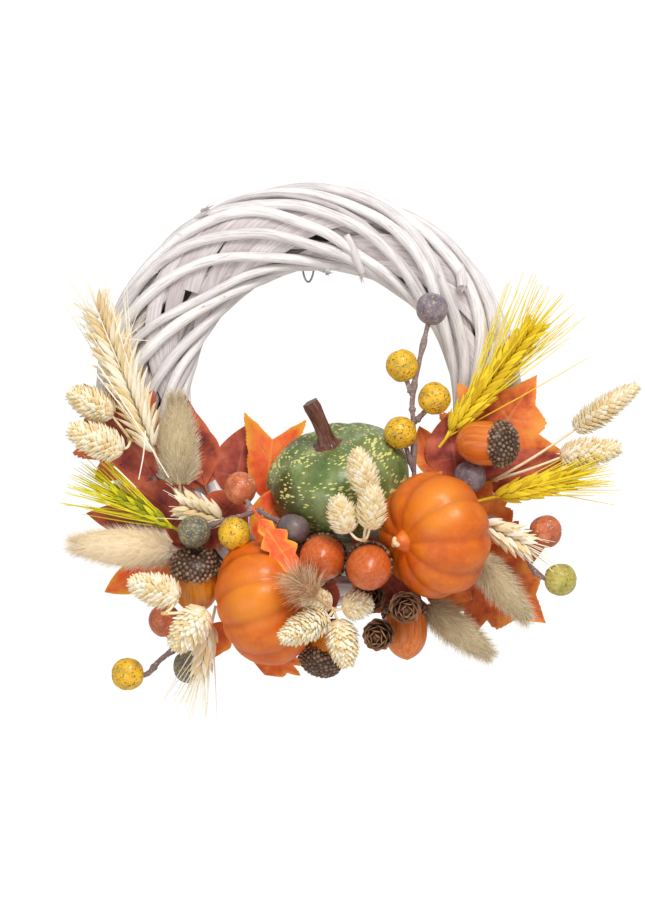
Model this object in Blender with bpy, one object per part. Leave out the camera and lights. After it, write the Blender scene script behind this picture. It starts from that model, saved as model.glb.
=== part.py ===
"""Harvest door wreath: a whitewashed willow ring with a decoration of pumpkins, acorns, berries and grasses.

Metres, +Z up, the front faces -Y. The origin is the point that the wreath hangs by, on the plane of the door.
"""

import math

import bmesh
import bpy
from mathutils import Matrix, Quaternion, Vector

MM = 0.001

# Willow ring, a torus whose inner edge sits off centre. RING_RADIUS drives the places of the decoration too.
RING_RADIUS = 0.129
RING_INNER = 0.079
INNER_SHIFT = Vector((0.0084, 0.0, -0.0042))
RING_DEPTH = 0.046
RING_BACK_GAP = 0.0015
ROD_RADIUS = 0.0030
ROD_COUNT = 4
ROD_LAPS = 3
ROD_TURNS = 5 / 3
LAP_STEPS = 28
STRIP_COUNT = 3
STRIP_WIDTH = 0.009
STRIP_THICKNESS = 0.0020
STRIP_CLEARANCE = 0.0015

# Hanging hardware.
WIRE_RADIUS = 0.0006
TIE_RADIUS = 0.0054
TIE_DROP = 0.0012
LOOP_LENGTH = 0.0285
LOOP_WIDTH = 0.0076
HINGE_BACK = 0.0032
HINGE_DROP = 0.0037

# Decoration.
GREEN_RADIUS = 0.0435
GREEN_HALF_HEIGHT = 0.029
ORANGE_RADIUS = 0.038
ORANGE_HALF_HEIGHT = 0.0285
BERRY_RADIUS = 0.0093
NUT_RADIUS = 0.0135
NUT_LENGTH = 0.030
CAP_RADIUS = 0.0155
CAP_HEIGHT = 0.012
CONE_RADIUS = 0.0112
CONE_LENGTH = 0.022
TWIG_RADIUS = 0.0019
STRAW_RADIUS = 0.0009
AWN_RADIUS = 0.0006
LEAF_THICKNESS = 0.0010
GAP = 0.0004

# Worked out from the driving sizes.
SPREAD = RING_RADIUS / 0.129
TUBE_SHIFT = INNER_SHIFT / 2
TUBE_CIRCLE = (RING_RADIUS + RING_INNER) / 2
TUBE_HALF = (RING_RADIUS - RING_INNER) / 2
TUBE_LEAN = TUBE_SHIFT.length
TUBE_LEAN_ANGLE = math.atan2(TUBE_SHIFT.z, TUBE_SHIFT.x)
DEPTH_RATIO = RING_DEPTH / (2 * (TUBE_HALF + TUBE_LEAN))
TUBE_Y = -RING_BACK_GAP - RING_DEPTH / 2
TIE_ANGLE = math.acos(-TUBE_SHIFT.x / TUBE_CIRCLE)
RING_Z = HINGE_DROP - TUBE_SHIFT.z - TUBE_CIRCLE * math.sin(TIE_ANGLE)
STRIP_INSET = 2 * ROD_RADIUS + STRIP_CLEARANCE + STRIP_THICKNESS / 2


def clear_scene():
    for obj in list(bpy.data.objects):
        bpy.data.objects.remove(obj)


def make_material(name, colour, roughness, metallic=0.0):
    material = bpy.data.materials.new(name)
    material.use_nodes = True
    shader = material.node_tree.nodes["Principled BSDF"]
    shader.inputs["Base Color"].default_value = (*colour, 1.0)
    shader.inputs["Roughness"].default_value = roughness
    shader.inputs["Metallic"].default_value = metallic
    return material


def make_object(name, bm, material, place=None, crease=40.0):
    """Makes the object. The place is the matrix that carries its own axes into the world."""
    bmesh.ops.recalc_face_normals(bm, faces=bm.faces)
    mesh = bpy.data.meshes.new(name)
    bm.to_mesh(mesh)
    bm.free()
    mesh.materials.append(material)
    mesh.shade_smooth()
    mesh.set_sharp_from_angle(angle=math.radians(crease))
    obj = bpy.data.objects.new(name, mesh)
    bpy.context.scene.collection.objects.link(obj)
    if place is not None:
        obj.matrix_world = place
    return obj


def at(x, y, z):
    """A place in millimetres: x and z from the centre of the ring, spread with its size, y from the door."""
    return Vector((x * SPREAD * MM, y * MM, z * SPREAD * MM + RING_Z))


def aimed(place, direction):
    """The matrix that puts local +Z along a direction, at a place."""
    turn = Vector(direction).normalized().to_track_quat("Z", "Y").to_matrix().to_4x4()
    return Matrix.Translation(place) @ turn


# Shapes


def add_rings(bm, rings):
    """Skins a list of rings of points into one closed body. A ring of one point is a pole."""
    made = [[bm.verts.new(point) for point in ring] for ring in rings]
    for low, high in zip(made, made[1:]):
        count = max(len(low), len(high))
        for i in range(count):
            j = (i + 1) % count
            corners = [low[i % len(low)], low[j % len(low)], high[j % len(high)], high[i % len(high)]]
            bm.faces.new(list(dict.fromkeys(corners)))
    for ring in (made[0], made[-1]):
        if len(ring) > 2:
            bm.faces.new(ring)


def add_lathe(bm, profile, sides, wave=None, place=Matrix()):
    """Turns a profile of (radius, height) pairs about Z; wave(angle) scales the radius round the axis."""
    rings = []
    for radius, height in profile:
        if radius == 0.0:
            rings.append([place @ Vector((0.0, 0.0, height))])
            continue
        ring = []
        for k in range(sides):
            angle = math.tau * k / sides
            reach = radius * (wave(angle) if wave else 1.0)
            ring.append(place @ Vector((reach * math.cos(angle), reach * math.sin(angle), height)))
        rings.append(ring)
    add_rings(bm, rings)


def add_twig(bm, points, radii, sides=6):
    """A stem through a list of points, one radius for each."""
    side = None
    rings = []
    for i, point in enumerate(points):
        ahead = (points[min(i + 1, len(points) - 1)] - points[max(i - 1, 0)]).normalized()
        if side is None:
            side = ahead.orthogonal().normalized()
        side = (side - ahead * side.dot(ahead)).normalized()
        across = ahead.cross(side)
        turns = [math.tau * k / sides for k in range(sides)]
        rings.append([point + (side * math.cos(t) + across * math.sin(t)) * radii[i] for t in turns])
    add_rings(bm, rings)


def add_ball(bm, centre, radius):
    made = bmesh.ops.create_icosphere(bm, subdivisions=2, radius=radius)
    bmesh.ops.translate(bm, verts=made["verts"], vec=centre)


def add_spindle(bm, start, end, radius, sides=8, blunt=0.35, rows=6):
    """A seed head: a closed body that swells from the start and narrows to the end."""
    axis = end - start
    length = axis.length
    place = aimed(start, axis)
    profile = [(0.0, 0.0)]
    for i in range(1, rows):
        t = i / rows
        swell = math.sin(math.pi * t ** (1.0 - blunt * 0.5)) ** 0.7
        profile.append((radius * swell, length * t))
    profile.append((0.0, length))
    add_lathe(bm, profile, sides, place=place)


def fuse(name, builders, material):
    """Joins overlapping bodies into one with Boolean unions."""
    pieces = []
    for build in builders:
        bm = bmesh.new()
        build(bm)
        pieces.append(make_object(name + "_piece", bm, material))
    base = pieces[0]
    base.name = name
    base.data.name = name
    for piece in pieces[1:]:
        union = base.modifiers.new("union", "BOOLEAN")
        union.operation = "UNION"
        union.solver = "EXACT"
        union.object = piece
        piece.hide_render = True
        piece.display_type = "WIRE"
    return base


# Willow ring


def tube_point(ring_angle, tube_angle, inset):
    """A point inside the skin of the ring's tube, and the direction out of the tube there."""
    half = TUBE_HALF - TUBE_LEAN * math.cos(ring_angle - TUBE_LEAN_ANGLE)
    flat = half - inset
    deep = half * DEPTH_RATIO - inset
    outward = Vector((math.cos(ring_angle), 0.0, math.sin(ring_angle)))
    centre = Vector((TUBE_SHIFT.x, TUBE_Y, TUBE_SHIFT.z + RING_Z)) + outward * TUBE_CIRCLE
    offset = outward * (flat * math.cos(tube_angle)) + Vector((0.0, -deep * math.sin(tube_angle), 0.0))
    normal = outward * (math.cos(tube_angle) / flat) + Vector((0.0, -math.sin(tube_angle) / deep, 0.0))
    return centre + offset, normal.normalized()


def sweep_round_ring(bm, path, profile):
    """Carries a profile of (across, out) pairs along a path of (point, normal) pairs."""
    rings = []
    for i, (point, normal) in enumerate(path):
        ahead = (path[min(i + 1, len(path) - 1)][0] - path[max(i - 1, 0)][0]).normalized()
        across = ahead.cross(normal).normalized()
        out = across.cross(ahead)
        scale = 1.0 - 0.25 * i / (len(path) - 1)
        rings.append([point + (across * a + out * b) * scale for a, b in profile])
    add_rings(bm, rings)


def make_rod(index, material):
    """A long willow rod that spirals round the ring. Its neighbours lie one lane to each side of it."""
    lanes = ROD_COUNT * ROD_LAPS
    first = math.radians(-90.0 + 360.0 / lanes * index)
    start = math.radians(-60.0 - 9.0 * index)
    steps = ROD_LAPS * LAP_STEPS
    sweep = math.tau * ROD_LAPS - math.radians(5.0)
    path = []
    for i in range(steps + 1):
        ring_angle = start + sweep * i / steps
        tube_angle = first - ROD_TURNS * (ring_angle - TIE_ANGLE)
        path.append(tube_point(ring_angle, tube_angle, ROD_RADIUS))
    turns = [math.tau * k / 6 for k in range(6)]
    profile = [(ROD_RADIUS * math.cos(t), ROD_RADIUS * math.sin(t)) for t in turns]
    bm = bmesh.new()
    sweep_round_ring(bm, path, profile)
    make_object(f"willow_rod_{index + 1}", bm, material)


def make_strip(index, material):
    """A flat strip of split willow under the rods, wound the other way."""
    start = math.radians(-70.0 - 20.0 * index)
    steps = LAP_STEPS + 4
    path = []
    for i in range(steps + 1):
        ring_angle = start + (math.tau - math.radians(8.0)) * i / steps
        tube_angle = math.tau * index / STRIP_COUNT + ring_angle
        path.append(tube_point(ring_angle, tube_angle, STRIP_INSET))
    half_width = STRIP_WIDTH / 2
    half_thick = STRIP_THICKNESS / 2
    profile = [
        (-half_width, -half_thick),
        (half_width, -half_thick),
        (half_width, half_thick),
        (-half_width, half_thick),
    ]
    bm = bmesh.new()
    sweep_round_ring(bm, path, profile)
    make_object(f"willow_strip_{index + 1}", bm, material)


# Hanging hardware


def add_wire_loop(bm, turn, drop, half_width, half_height, steps=20, sides=6):
    """A closed oval of wire, drawn in the XY plane, turned, and let down by the drop."""
    place = Matrix.Translation((0.0, 0.0, -drop)) @ turn
    rings = []
    for i in range(steps):
        angle = math.tau * i / steps
        centre = Vector((half_width * math.sin(angle), half_height * math.cos(angle), 0.0))
        out = Vector((math.sin(angle) / half_width, math.cos(angle) / half_height, 0.0)).normalized()
        up = Vector((0.0, 0.0, 1.0))
        ring = []
        for k in range(sides):
            turn = math.tau * k / sides
            ring.append(place @ (centre + (out * math.cos(turn) + up * math.sin(turn)) * WIRE_RADIUS))
        rings.append([bm.verts.new(point) for point in ring])
    for low, high in zip(rings, rings[1:] + rings[:1]):
        for k in range(sides):
            m = (k + 1) % sides
            bm.faces.new([low[k], low[m], high[m], high[k]])


def make_wire_tie(material):
    """A ring of wire round the rod that passes the back of the ring's top."""
    rod_centre, _ = tube_point(TIE_ANGLE, math.radians(-90.0), ROD_RADIUS)
    bm = bmesh.new()
    sideways = Matrix.Rotation(math.radians(90.0), 4, "Y")
    add_wire_loop(bm, sideways, TIE_DROP, TIE_RADIUS, TIE_RADIUS)
    make_object("wire_tie", bm, material, Matrix.Translation(rod_centre))
    return rod_centre


def make_hanging_loop(rod_centre, material):
    """A long oval of wire that hangs from the tie and turns about its own top."""
    hinge = Vector((0.0, rod_centre.y + HINGE_BACK, rod_centre.z - HINGE_DROP))
    bm = bmesh.new()
    upright = Matrix.Rotation(math.radians(90.0), 4, "X")
    add_wire_loop(bm, upright, LOOP_LENGTH / 2, LOOP_WIDTH / 2, LOOP_LENGTH / 2, steps=24)
    make_object("hanging_loop", bm, material, Matrix.Translation(hinge))


# Pumpkins


def pumpkin_profile(radius, half_height, dent, rows=10):
    """A squashed ball with a dimple at each pole."""
    profile = []
    for i in range(rows + 1):
        polar = math.pi * i / rows
        sine = max(math.sin(polar), 0.0)
        dip = dent * math.exp(-((sine / 0.30) ** 2))
        height = half_height * math.cos(polar)
        height -= math.copysign(dip, height) if abs(height) > 1e-9 else 0.0
        profile.append((0.0 if i in (0, rows) else radius * sine**0.85, height))
    return profile


def make_pumpkin(name, place, radius, half_height, ribs, depth, material):
    """Ribs are lobes between narrow grooves."""

    def wave(angle):
        groove = abs(math.sin(angle * ribs / 2)) ** 0.6
        return 1.0 - depth * (1.0 - groove)

    bm = bmesh.new()
    profile = pumpkin_profile(radius, half_height, 0.14 * half_height)
    add_lathe(bm, profile, ribs * 3, wave)
    make_object(name, bm, material, place)


def make_green_pumpkin(material, stem_material):
    axis = Vector((-0.25, -0.42, 0.87)).normalized()
    centre = at(18.0, -48.0, -51.8)
    place = aimed(centre, axis)
    make_pumpkin("green_pumpkin", place, GREEN_RADIUS, GREEN_HALF_HEIGHT, 10, 0.05, material)
    foot = centre + axis * (GREEN_HALF_HEIGHT * 0.86 + 3 * GAP)
    bend = Vector((-0.45, -0.25, 0.86))
    points = [foot, foot + axis * 0.003, foot + axis * 0.010 + bend * 0.002]
    points.append(foot + axis * 0.016 + bend * 0.012)
    points.append(points[-1] + bend * 0.006)
    bm = bmesh.new()
    add_twig(bm, points, [0.0066, 0.0060, 0.0046, 0.0048, 0.0056], sides=8)
    make_object("green_pumpkin_stem", bm, stem_material)


def make_orange_pumpkin(side, centre, axis, material, stem_material):
    place = aimed(centre, axis)
    make_pumpkin(f"orange_pumpkin_{side}", place, ORANGE_RADIUS, ORANGE_HALF_HEIGHT, 10, 0.07, material)
    if stem_material is None:
        return
    way = Vector(axis).normalized()
    foot = centre + way * (ORANGE_HALF_HEIGHT * 0.86 + GAP)
    bm = bmesh.new()
    add_twig(bm, [foot, foot + way * 0.002, foot + way * 0.0045], [0.0042, 0.0034, 0.0022], sides=8)
    make_object(f"orange_stub_{side}", bm, stem_material)


# Acorns and cones


def make_acorn(index, seam, way, nut_material, cap_material, size=1.0):
    """The seam is where the nut meets its cap; way points from the cap to the tip of the nut."""
    place = aimed(seam, way)
    nut = [(0.0, GAP / 2)]
    for t, swell in ((0.0, 0.90), (0.22, 0.99), (0.42, 1.0), (0.62, 0.90), (0.80, 0.66), (0.93, 0.34)):
        nut.append((NUT_RADIUS * size * swell, GAP / 2 + NUT_LENGTH * size * t))
    nut.append((0.0015, GAP / 2 + NUT_LENGTH * size * 0.985))
    nut.append((0.0, NUT_LENGTH * size * 1.05))
    bm = bmesh.new()
    add_lathe(bm, nut, 10)
    make_object(f"acorn_nut_{index}", bm, nut_material, place)
    cap = [(0.0, -GAP / 2)]
    for t, swell in ((0.0, 1.0), (0.35, 0.97), (0.70, 0.76), (0.92, 0.42)):
        cap.append((CAP_RADIUS * size * swell, -GAP / 2 - CAP_HEIGHT * size * t))
    cap.append((0.0, -CAP_HEIGHT * size))
    bm = bmesh.new()
    add_lathe(bm, cap, 10)
    make_object(f"acorn_cap_{index}", bm, cap_material, place)


def make_acorns(nut_material, cap_material):
    acorns = (
        (at(-69.5, -67.0, -105.0), (-0.05, 0.28, -0.95), 1.05),
        (at(110.0, -72.0, -29.5), (-0.94, 0.26, 0.06), 0.98),
        (at(9.0, -86.0, -97.0), (-0.03, -0.97, 0.02), 1.0),
        (at(36.0, -101.0, -101.0), (0.0, -0.98, -0.12), 0.98),
        (at(58.0, -62.0, -131.5), (0.04, -0.30, -0.95), 0.95),
        (at(10.0, -65.0, -157.5), (0.50, 0.35, 0.80), 0.92),
    )
    for index, (seam, way, size) in enumerate(acorns, 1):
        make_acorn(index, seam, way, nut_material, cap_material, size)


def make_cone(index, centre, way, material):
    """A larch cone: whorls of scales that open wider towards the middle."""
    place = aimed(centre, way)
    profile = [(0.0, -CONE_LENGTH / 2)]
    whorls = 5
    for i in range(whorls):
        t = (i + 0.5) / whorls
        swell = math.sin(math.pi * (0.12 + 0.76 * t)) ** 0.8
        foot = -CONE_LENGTH / 2 + CONE_LENGTH * (i + 0.15) / whorls
        profile.append((CONE_RADIUS * swell * 0.62, foot))
        profile.append((CONE_RADIUS * swell, foot + 0.6 * CONE_LENGTH / whorls))
    profile.append((0.0, CONE_LENGTH / 2))

    def wave(angle):
        return 1.0 - 0.10 * (0.5 - 0.5 * math.cos(angle * 5))

    bm = bmesh.new()
    add_lathe(bm, profile, 10, wave)
    make_object(f"larch_cone_{index}", bm, material, place)


# Picks with berries


def make_pick(name, stems, berries, material):
    """Stems are lists of places that start on an earlier stem; each berry sits on the end of one."""

    def stem_builder(points):
        radii = [TWIG_RADIUS] * len(points)
        return lambda bm: add_twig(bm, points, radii)

    def berry_builder(centre):
        return lambda bm: add_ball(bm, centre, BERRY_RADIUS)

    builders = [stem_builder([at(*place) for place in stem]) for stem in stems]
    builders += [berry_builder(at(*place)) for place in berries]
    fuse(name, builders, material)


def make_picks(material):
    make_pick(
        "berry_pick_upper",
        (
            (
                (63.6, -58.0, -50.0),
                (63.0, -60.0, -15.0),
                (62.4, -60.0, -3.0),
                (66.0, -60.0, 18.0),
                (73.0, -59.0, 46.0),
            ),
            ((62.2, -60.2, 0.0), (60.0, -61.0, 6.0), (57.0, -61.0, 14.0)),
            ((63.2, -60.0, -17.0), (69.0, -61.0, -11.0), (74.0, -62.0, -5.0)),
            ((63.3, -58.4, -45.0), (59.0, -62.0, -33.0), (56.0, -65.0, -26.0)),
        ),
        ((74.4, -59.0, 51.6), (56.4, -61.0, 17.4), (75.6, -62.0, -2.1), (55.2, -66.0, -22.8)),
        material,
    )
    make_pick(
        "berry_pick_left",
        (
            (
                (-62.0, -76.0, -79.0),
                (-50.0, -77.0, -75.0),
                (-39.6, -78.0, -72.6),
                (-30.0, -80.0, -69.0),
                (-24.0, -83.0, -72.0),
                (-12.0, -86.0, -78.0),
            ),
            ((-33.0, -80.0, -70.0), (-36.0, -76.0, -64.0), (-39.0, -73.0, -59.0)),
            ((-46.0, -77.4, -74.2), (-45.0, -79.0, -78.0), (-44.2, -80.0, -81.0)),
        ),
        ((-9.0, -87.0, -80.4), (-40.2, -71.0, -55.8), (-43.8, -81.0, -82.7), (-67.6, -78.0, -81.4)),
        material,
    )
    make_pick(
        "berry_pick_right",
        (
            (
                (97.0, -56.0, -58.0),
                (104.4, -54.0, -72.6),
                (113.4, -53.0, -74.4),
                (124.8, -54.0, -82.2),
                (140.0, -55.0, -82.0),
            ),
            ((126.0, -54.0, -82.3), (133.8, -55.0, -102.6), (140.4, -56.0, -109.2), (149.0, -57.0, -110.5)),
        ),
        ((97.2, -57.0, -49.2), (142.5, -55.0, -81.9), (151.2, -57.0, -110.7)),
        material,
    )
    make_pick(
        "berry_pick_lower_left",
        (
            (
                (-76.0, -52.0, -150.0),
                (-88.8, -54.0, -159.0),
                (-96.6, -55.0, -167.4),
                (-106.0, -56.0, -167.6),
            ),
            ((-77.0, -52.2, -150.8), (-84.0, -52.0, -144.0), (-86.0, -52.0, -138.0)),
            ((-77.0, -52.2, -150.8), (-73.0, -51.0, -159.0), (-71.5, -50.0, -162.0)),
        ),
        ((-108.0, -56.0, -167.4), (-86.1, -52.0, -135.6), (-71.4, -50.0, -163.2)),
        material,
    )


# Grasses


def make_bunny_tail(name, start, end, radius, material, stalk):
    """A soft oval seed head on a short stalk."""
    way = (at(*end) - at(*start)).normalized()
    foot = at(*start) - way * stalk
    fuse(
        name,
        [
            lambda bm: add_spindle(bm, at(*start), at(*end), radius),
            lambda bm: add_twig(bm, [foot, at(*start) + way * 0.006], [STRAW_RADIUS, STRAW_RADIUS]),
        ],
        material,
    )


def make_grass_bunch(name, heads, knot, material):
    """Each head has a start, an end and a radius. Its straw runs to the knot that the bunch is bound at."""

    def straw_builder(start, end):
        way = (at(*end) - at(*start)).normalized()
        points = [at(*knot), at(*start) + way * 0.006]
        return lambda bm: add_twig(bm, points, [STRAW_RADIUS * 1.2, STRAW_RADIUS])

    def head_builder(start, end, radius):
        return lambda bm: add_spindle(bm, at(*start), at(*end), radius)

    builders = [lambda bm: add_ball(bm, at(*knot), STRAW_RADIUS * 2.2)]
    for start, end, radius in heads:
        builders.append(straw_builder(start, end))
        builders.append(head_builder(start, end, radius))
    fuse(name, builders, material)


def make_canary_grass(material):
    make_grass_bunch(
        "canary_grass_left",
        (
            ((-116.0, -62.0, -12.0), (-145.0, -64.0, 3.0), 0.0110),
            ((-110.0, -74.0, -34.0), (-145.0, -74.0, -19.0), 0.0115),
        ),
        (-106.0, -63.0, -27.0),
        material,
    )
    make_grass_bunch(
        "canary_grass_lower_left",
        (
            ((-83.0, -86.0, -119.0), (-108.0, -78.0, -111.0), 0.0105),
            ((-67.0, -86.0, -131.0), (-80.0, -82.0, -152.0), 0.0105),
        ),
        (-85.0, -88.0, -130.0),
        material,
    )
    make_grass_bunch(
        "canary_grass_centre",
        (
            ((36.0, -113.0, -60.0), (28.0, -110.0, -30.0), 0.0100),
            ((37.0, -118.0, -80.0), (38.0, -119.0, -51.0), 0.0100),
            ((24.0, -114.0, -82.0), (16.0, -114.0, -58.0), 0.0100),
        ),
        (33.0, -112.0, -86.0),
        material,
    )
    make_grass_bunch(
        "canary_grass_bottom",
        (
            ((14.0, -102.0, -124.0), (-5.0, -110.0, -120.0), 0.0085),
            ((12.0, -106.0, -131.0), (-18.0, -120.0, -145.0), 0.0105),
            ((20.0, -99.0, -126.0), (40.0, -97.0, -123.5), 0.0096),
            ((18.0, -96.0, -133.0), (24.0, -94.0, -164.0), 0.0105),
        ),
        (15.0, -97.0, -127.0),
        material,
    )
    make_grass_bunch(
        "canary_grass_far_right",
        (
            ((160.0, -52.0, -21.0), (202.0, -54.0, 8.4), 0.0090),
            ((151.0, -56.0, -37.0), (191.0, -58.0, -31.0), 0.0100),
        ),
        (112.0, -50.0, -51.0),
        material,
    )


def make_wheat(name, start, end, radius, awns, material, stalk=0.012):
    """A flattened ear of grain with a few long awns, given by where they end."""
    foot = at(*start)
    tip = at(*end)
    way = (tip - foot).normalized()
    length = (tip - foot).length

    def awn_builder(root, point):
        return lambda bm: add_twig(bm, [root, point], [AWN_RADIUS * 1.3, AWN_RADIUS * 0.5], sides=4)

    builders = [
        lambda bm: add_spindle(bm, foot, tip, radius),
        lambda bm: add_twig(bm, [foot - way * stalk, foot + way * 0.006], [STRAW_RADIUS, STRAW_RADIUS]),
    ]
    for index, awn in enumerate(awns):
        root = foot + way * length * (0.62 + 0.12 * index)
        builders.append(awn_builder(root, at(*awn)))
    fuse(name, builders, material)


def make_wheat_ears(cream, yellow, green):
    make_wheat(
        "wheat_left_cream",
        (-92.0, -63.0, -34.0),
        (-129.0, -62.0, 58.0),
        0.0095,
        ((-112.0, -64.0, 46.0), (-131.4, -62.0, 28.0)),
        cream,
    )
    make_wheat(
        "wheat_left_green",
        (-86.0, -60.0, -73.0),
        (-114.0, -61.0, -58.5),
        0.0075,
        ((-140.0, -61.0, -44.0), (-146.0, -60.0, -66.0)),
        green,
    )
    make_wheat("wheat_left_short", (-50.0, -62.0, -70.0), (-78.0, -64.0, -62.0), 0.0075, (), cream, 0.006)
    make_wheat(
        "wheat_right_yellow_up",
        (86.0, -58.0, -22.0),
        (138.6, -57.0, 44.4),
        0.0095,
        ((107.0, -56.0, 48.0), (144.0, -55.0, 66.0), (154.0, -55.0, 51.0)),
        yellow,
    )
    make_wheat(
        "wheat_right_yellow_low",
        (112.0, -62.0, -61.0),
        (157.8, -62.0, -49.2),
        0.0080,
        ((188.0, -62.0, -57.0), (184.0, -62.0, -66.0)),
        yellow,
    )
    make_wheat(
        "wheat_right_cream",
        (108.0, -64.0, -79.0),
        (132.0, -65.0, -90.6),
        0.0070,
        ((148.0, -66.0, -88.0),),
        cream,
    )
    make_wheat(
        "wheat_bottom_cream",
        (-58.0, -58.0, -138.0),
        (-64.0, -60.0, -164.0),
        0.0070,
        ((-86.0, -62.0, -182.0), (-69.6, -62.0, -193.0)),
        cream,
        0.006,
    )


def make_bunny_tails(grey, cream, brown):
    tails = (
        ("bunny_tail_left", (-76.5, -68.0, -52.0), (-79.0, -66.0, 2.0), 0.0135, grey, 0.012),
        ("bunny_tail_far_left", (-92.0, -62.0, -93.0), (-145.0, -62.0, -90.0), 0.0130, cream, 0.012),
        ("bunny_tail_right", (103.0, -62.0, -100.0), (132.0, -62.0, -135.0), 0.0120, grey, 0.012),
        ("bunny_tail_lower_right", (79.5, -57.0, -133.0), (111.0, -60.0, -157.0), 0.0125, grey, 0.012),
        ("brown_tuft", (2.0, -118.0, -113.0), (-12.0, -122.0, -108.0), 0.0070, brown, 0.004),
    )
    for name, start, end, radius, material, stalk in tails:
        make_bunny_tail(name, start, end, radius, material, stalk)


# Leaves

MAPLE = (
    (0.00, 0.03), (0.10, 0.22), (-0.04, 0.44), (0.18, 0.34), (0.26, 0.58), (0.40, 0.42), (0.58, 0.62),
    (0.62, 0.36), (0.74, 0.38), (0.80, 0.16), (1.00, 0.02),
)
OAK = (
    (0.00, 0.03), (0.12, 0.20), (0.24, 0.13), (0.36, 0.34), (0.48, 0.20), (0.62, 0.38), (0.72, 0.20),
    (0.86, 0.22), (1.00, 0.02),
)
OVAL = ((0.00, 0.03), (0.15, 0.22), (0.40, 0.36), (0.65, 0.34), (0.85, 0.20), (1.00, 0.02))


def make_leaf(name, start, end, width, outline, curl, material, roll=0.0):
    """A thin leaf, stalk to tip. Its outline is (along, across), shares of length and width, for one half."""
    foot = at(*start)
    along = at(*end) - foot
    length = along.length
    ahead = along.normalized()
    across = ahead.cross(Vector((0.0, -1.0, 0.0))).normalized()
    across.rotate(Quaternion(ahead, math.radians(roll)))
    face = across.cross(ahead)
    if face.y > 0:
        face = -face

    def leaf_point(u, v, lift):
        bend = curl * (abs(v) * width / length) ** 2 * length * 2.0 + curl * length * 0.3 * u * u
        return foot + ahead * (u * length) + across * (v * width) + face * (bend + lift)

    half = list(outline)
    loop = half + [(u, -v) for u, v in reversed(half)]
    bm = bmesh.new()
    skins = []
    for lift in (0.0, LEAF_THICKNESS):
        edge = [bm.verts.new(leaf_point(u, v, lift)) for u, v in loop]
        spine = [bm.verts.new(leaf_point(u, 0.0, lift)) for u in (0.30, 0.45, 0.60)]
        skins.append((edge, spine))
    count = len(loop)
    spine_place = (0.30, 0.45, 0.60)

    def nearest(u):
        return min(range(3), key=lambda k: abs(spine_place[k] - u))

    for edge, spine in skins:
        for i in range(count):
            j = (i + 1) % count
            a = nearest(loop[i][0])
            b = nearest(loop[j][0])
            bm.faces.new([edge[i], edge[j], spine[b]])
            if a != b:
                bm.faces.new([edge[i], spine[b], spine[a]])
    low, high = skins[0][0], skins[1][0]
    for i in range(count):
        j = (i + 1) % count
        bm.faces.new([low[i], low[j], high[j], high[i]])
    make_object(name, bm, material)


def make_leaves(burgundy, orange, red, brown):
    leaves = (
        ("burgundy_left", (-92.0, -51.0, -48.0), (-134.0, -51.0, 6.0), 0.050, MAPLE, 0.0, 0.0, burgundy),
        ("orange_left", (-86.0, -40.0, -106.0), (-124.0, -40.0, -118.0), 0.030, OVAL, 0.1, 0.0, orange),
        ("dark_red", (-58.0, -47.0, -52.0), (-70.0, -48.0, 2.0), 0.040, OAK, 0.0, 0.0, burgundy),
        ("burgundy_round", (-36.0, -15.0, -66.0), (-41.0, -15.0, -15.0), 0.044, OVAL, 0.05, 0.0, burgundy),
        ("orange_red", (-25.0, -20.0, -64.0), (-22.0, -22.0, -8.0), 0.048, MAPLE, 0.05, 44.0, red),
        ("red_yellow", (-20.0, -98.0, -84.0), (-6.0, -100.0, -106.0), 0.018, OAK, 0.0, 0.0, red),
        ("maple_right", (98.0, -45.0, -48.0), (146.0, -46.0, 6.0), 0.066, MAPLE, 0.0, 0.0, brown),
        ("orange_small", (80.0, -50.0, -52.0), (66.0, -50.0, -22.0), 0.026, OAK, 0.0, 0.0, orange),
        ("lower_right", (88.0, -45.0, -92.0), (142.0, -45.0, -136.0), 0.062, MAPLE, 0.0, 0.0, brown),
        ("bottom", (-14.0, -38.0, -146.0), (-26.0, -38.0, -168.0), 0.050, OAK, 0.0, 0.0, brown),
    )
    for name, start, end, width, outline, curl, roll, material in leaves:
        make_leaf(f"leaf_{name}", start, end, width, outline, curl, material, roll)


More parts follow.
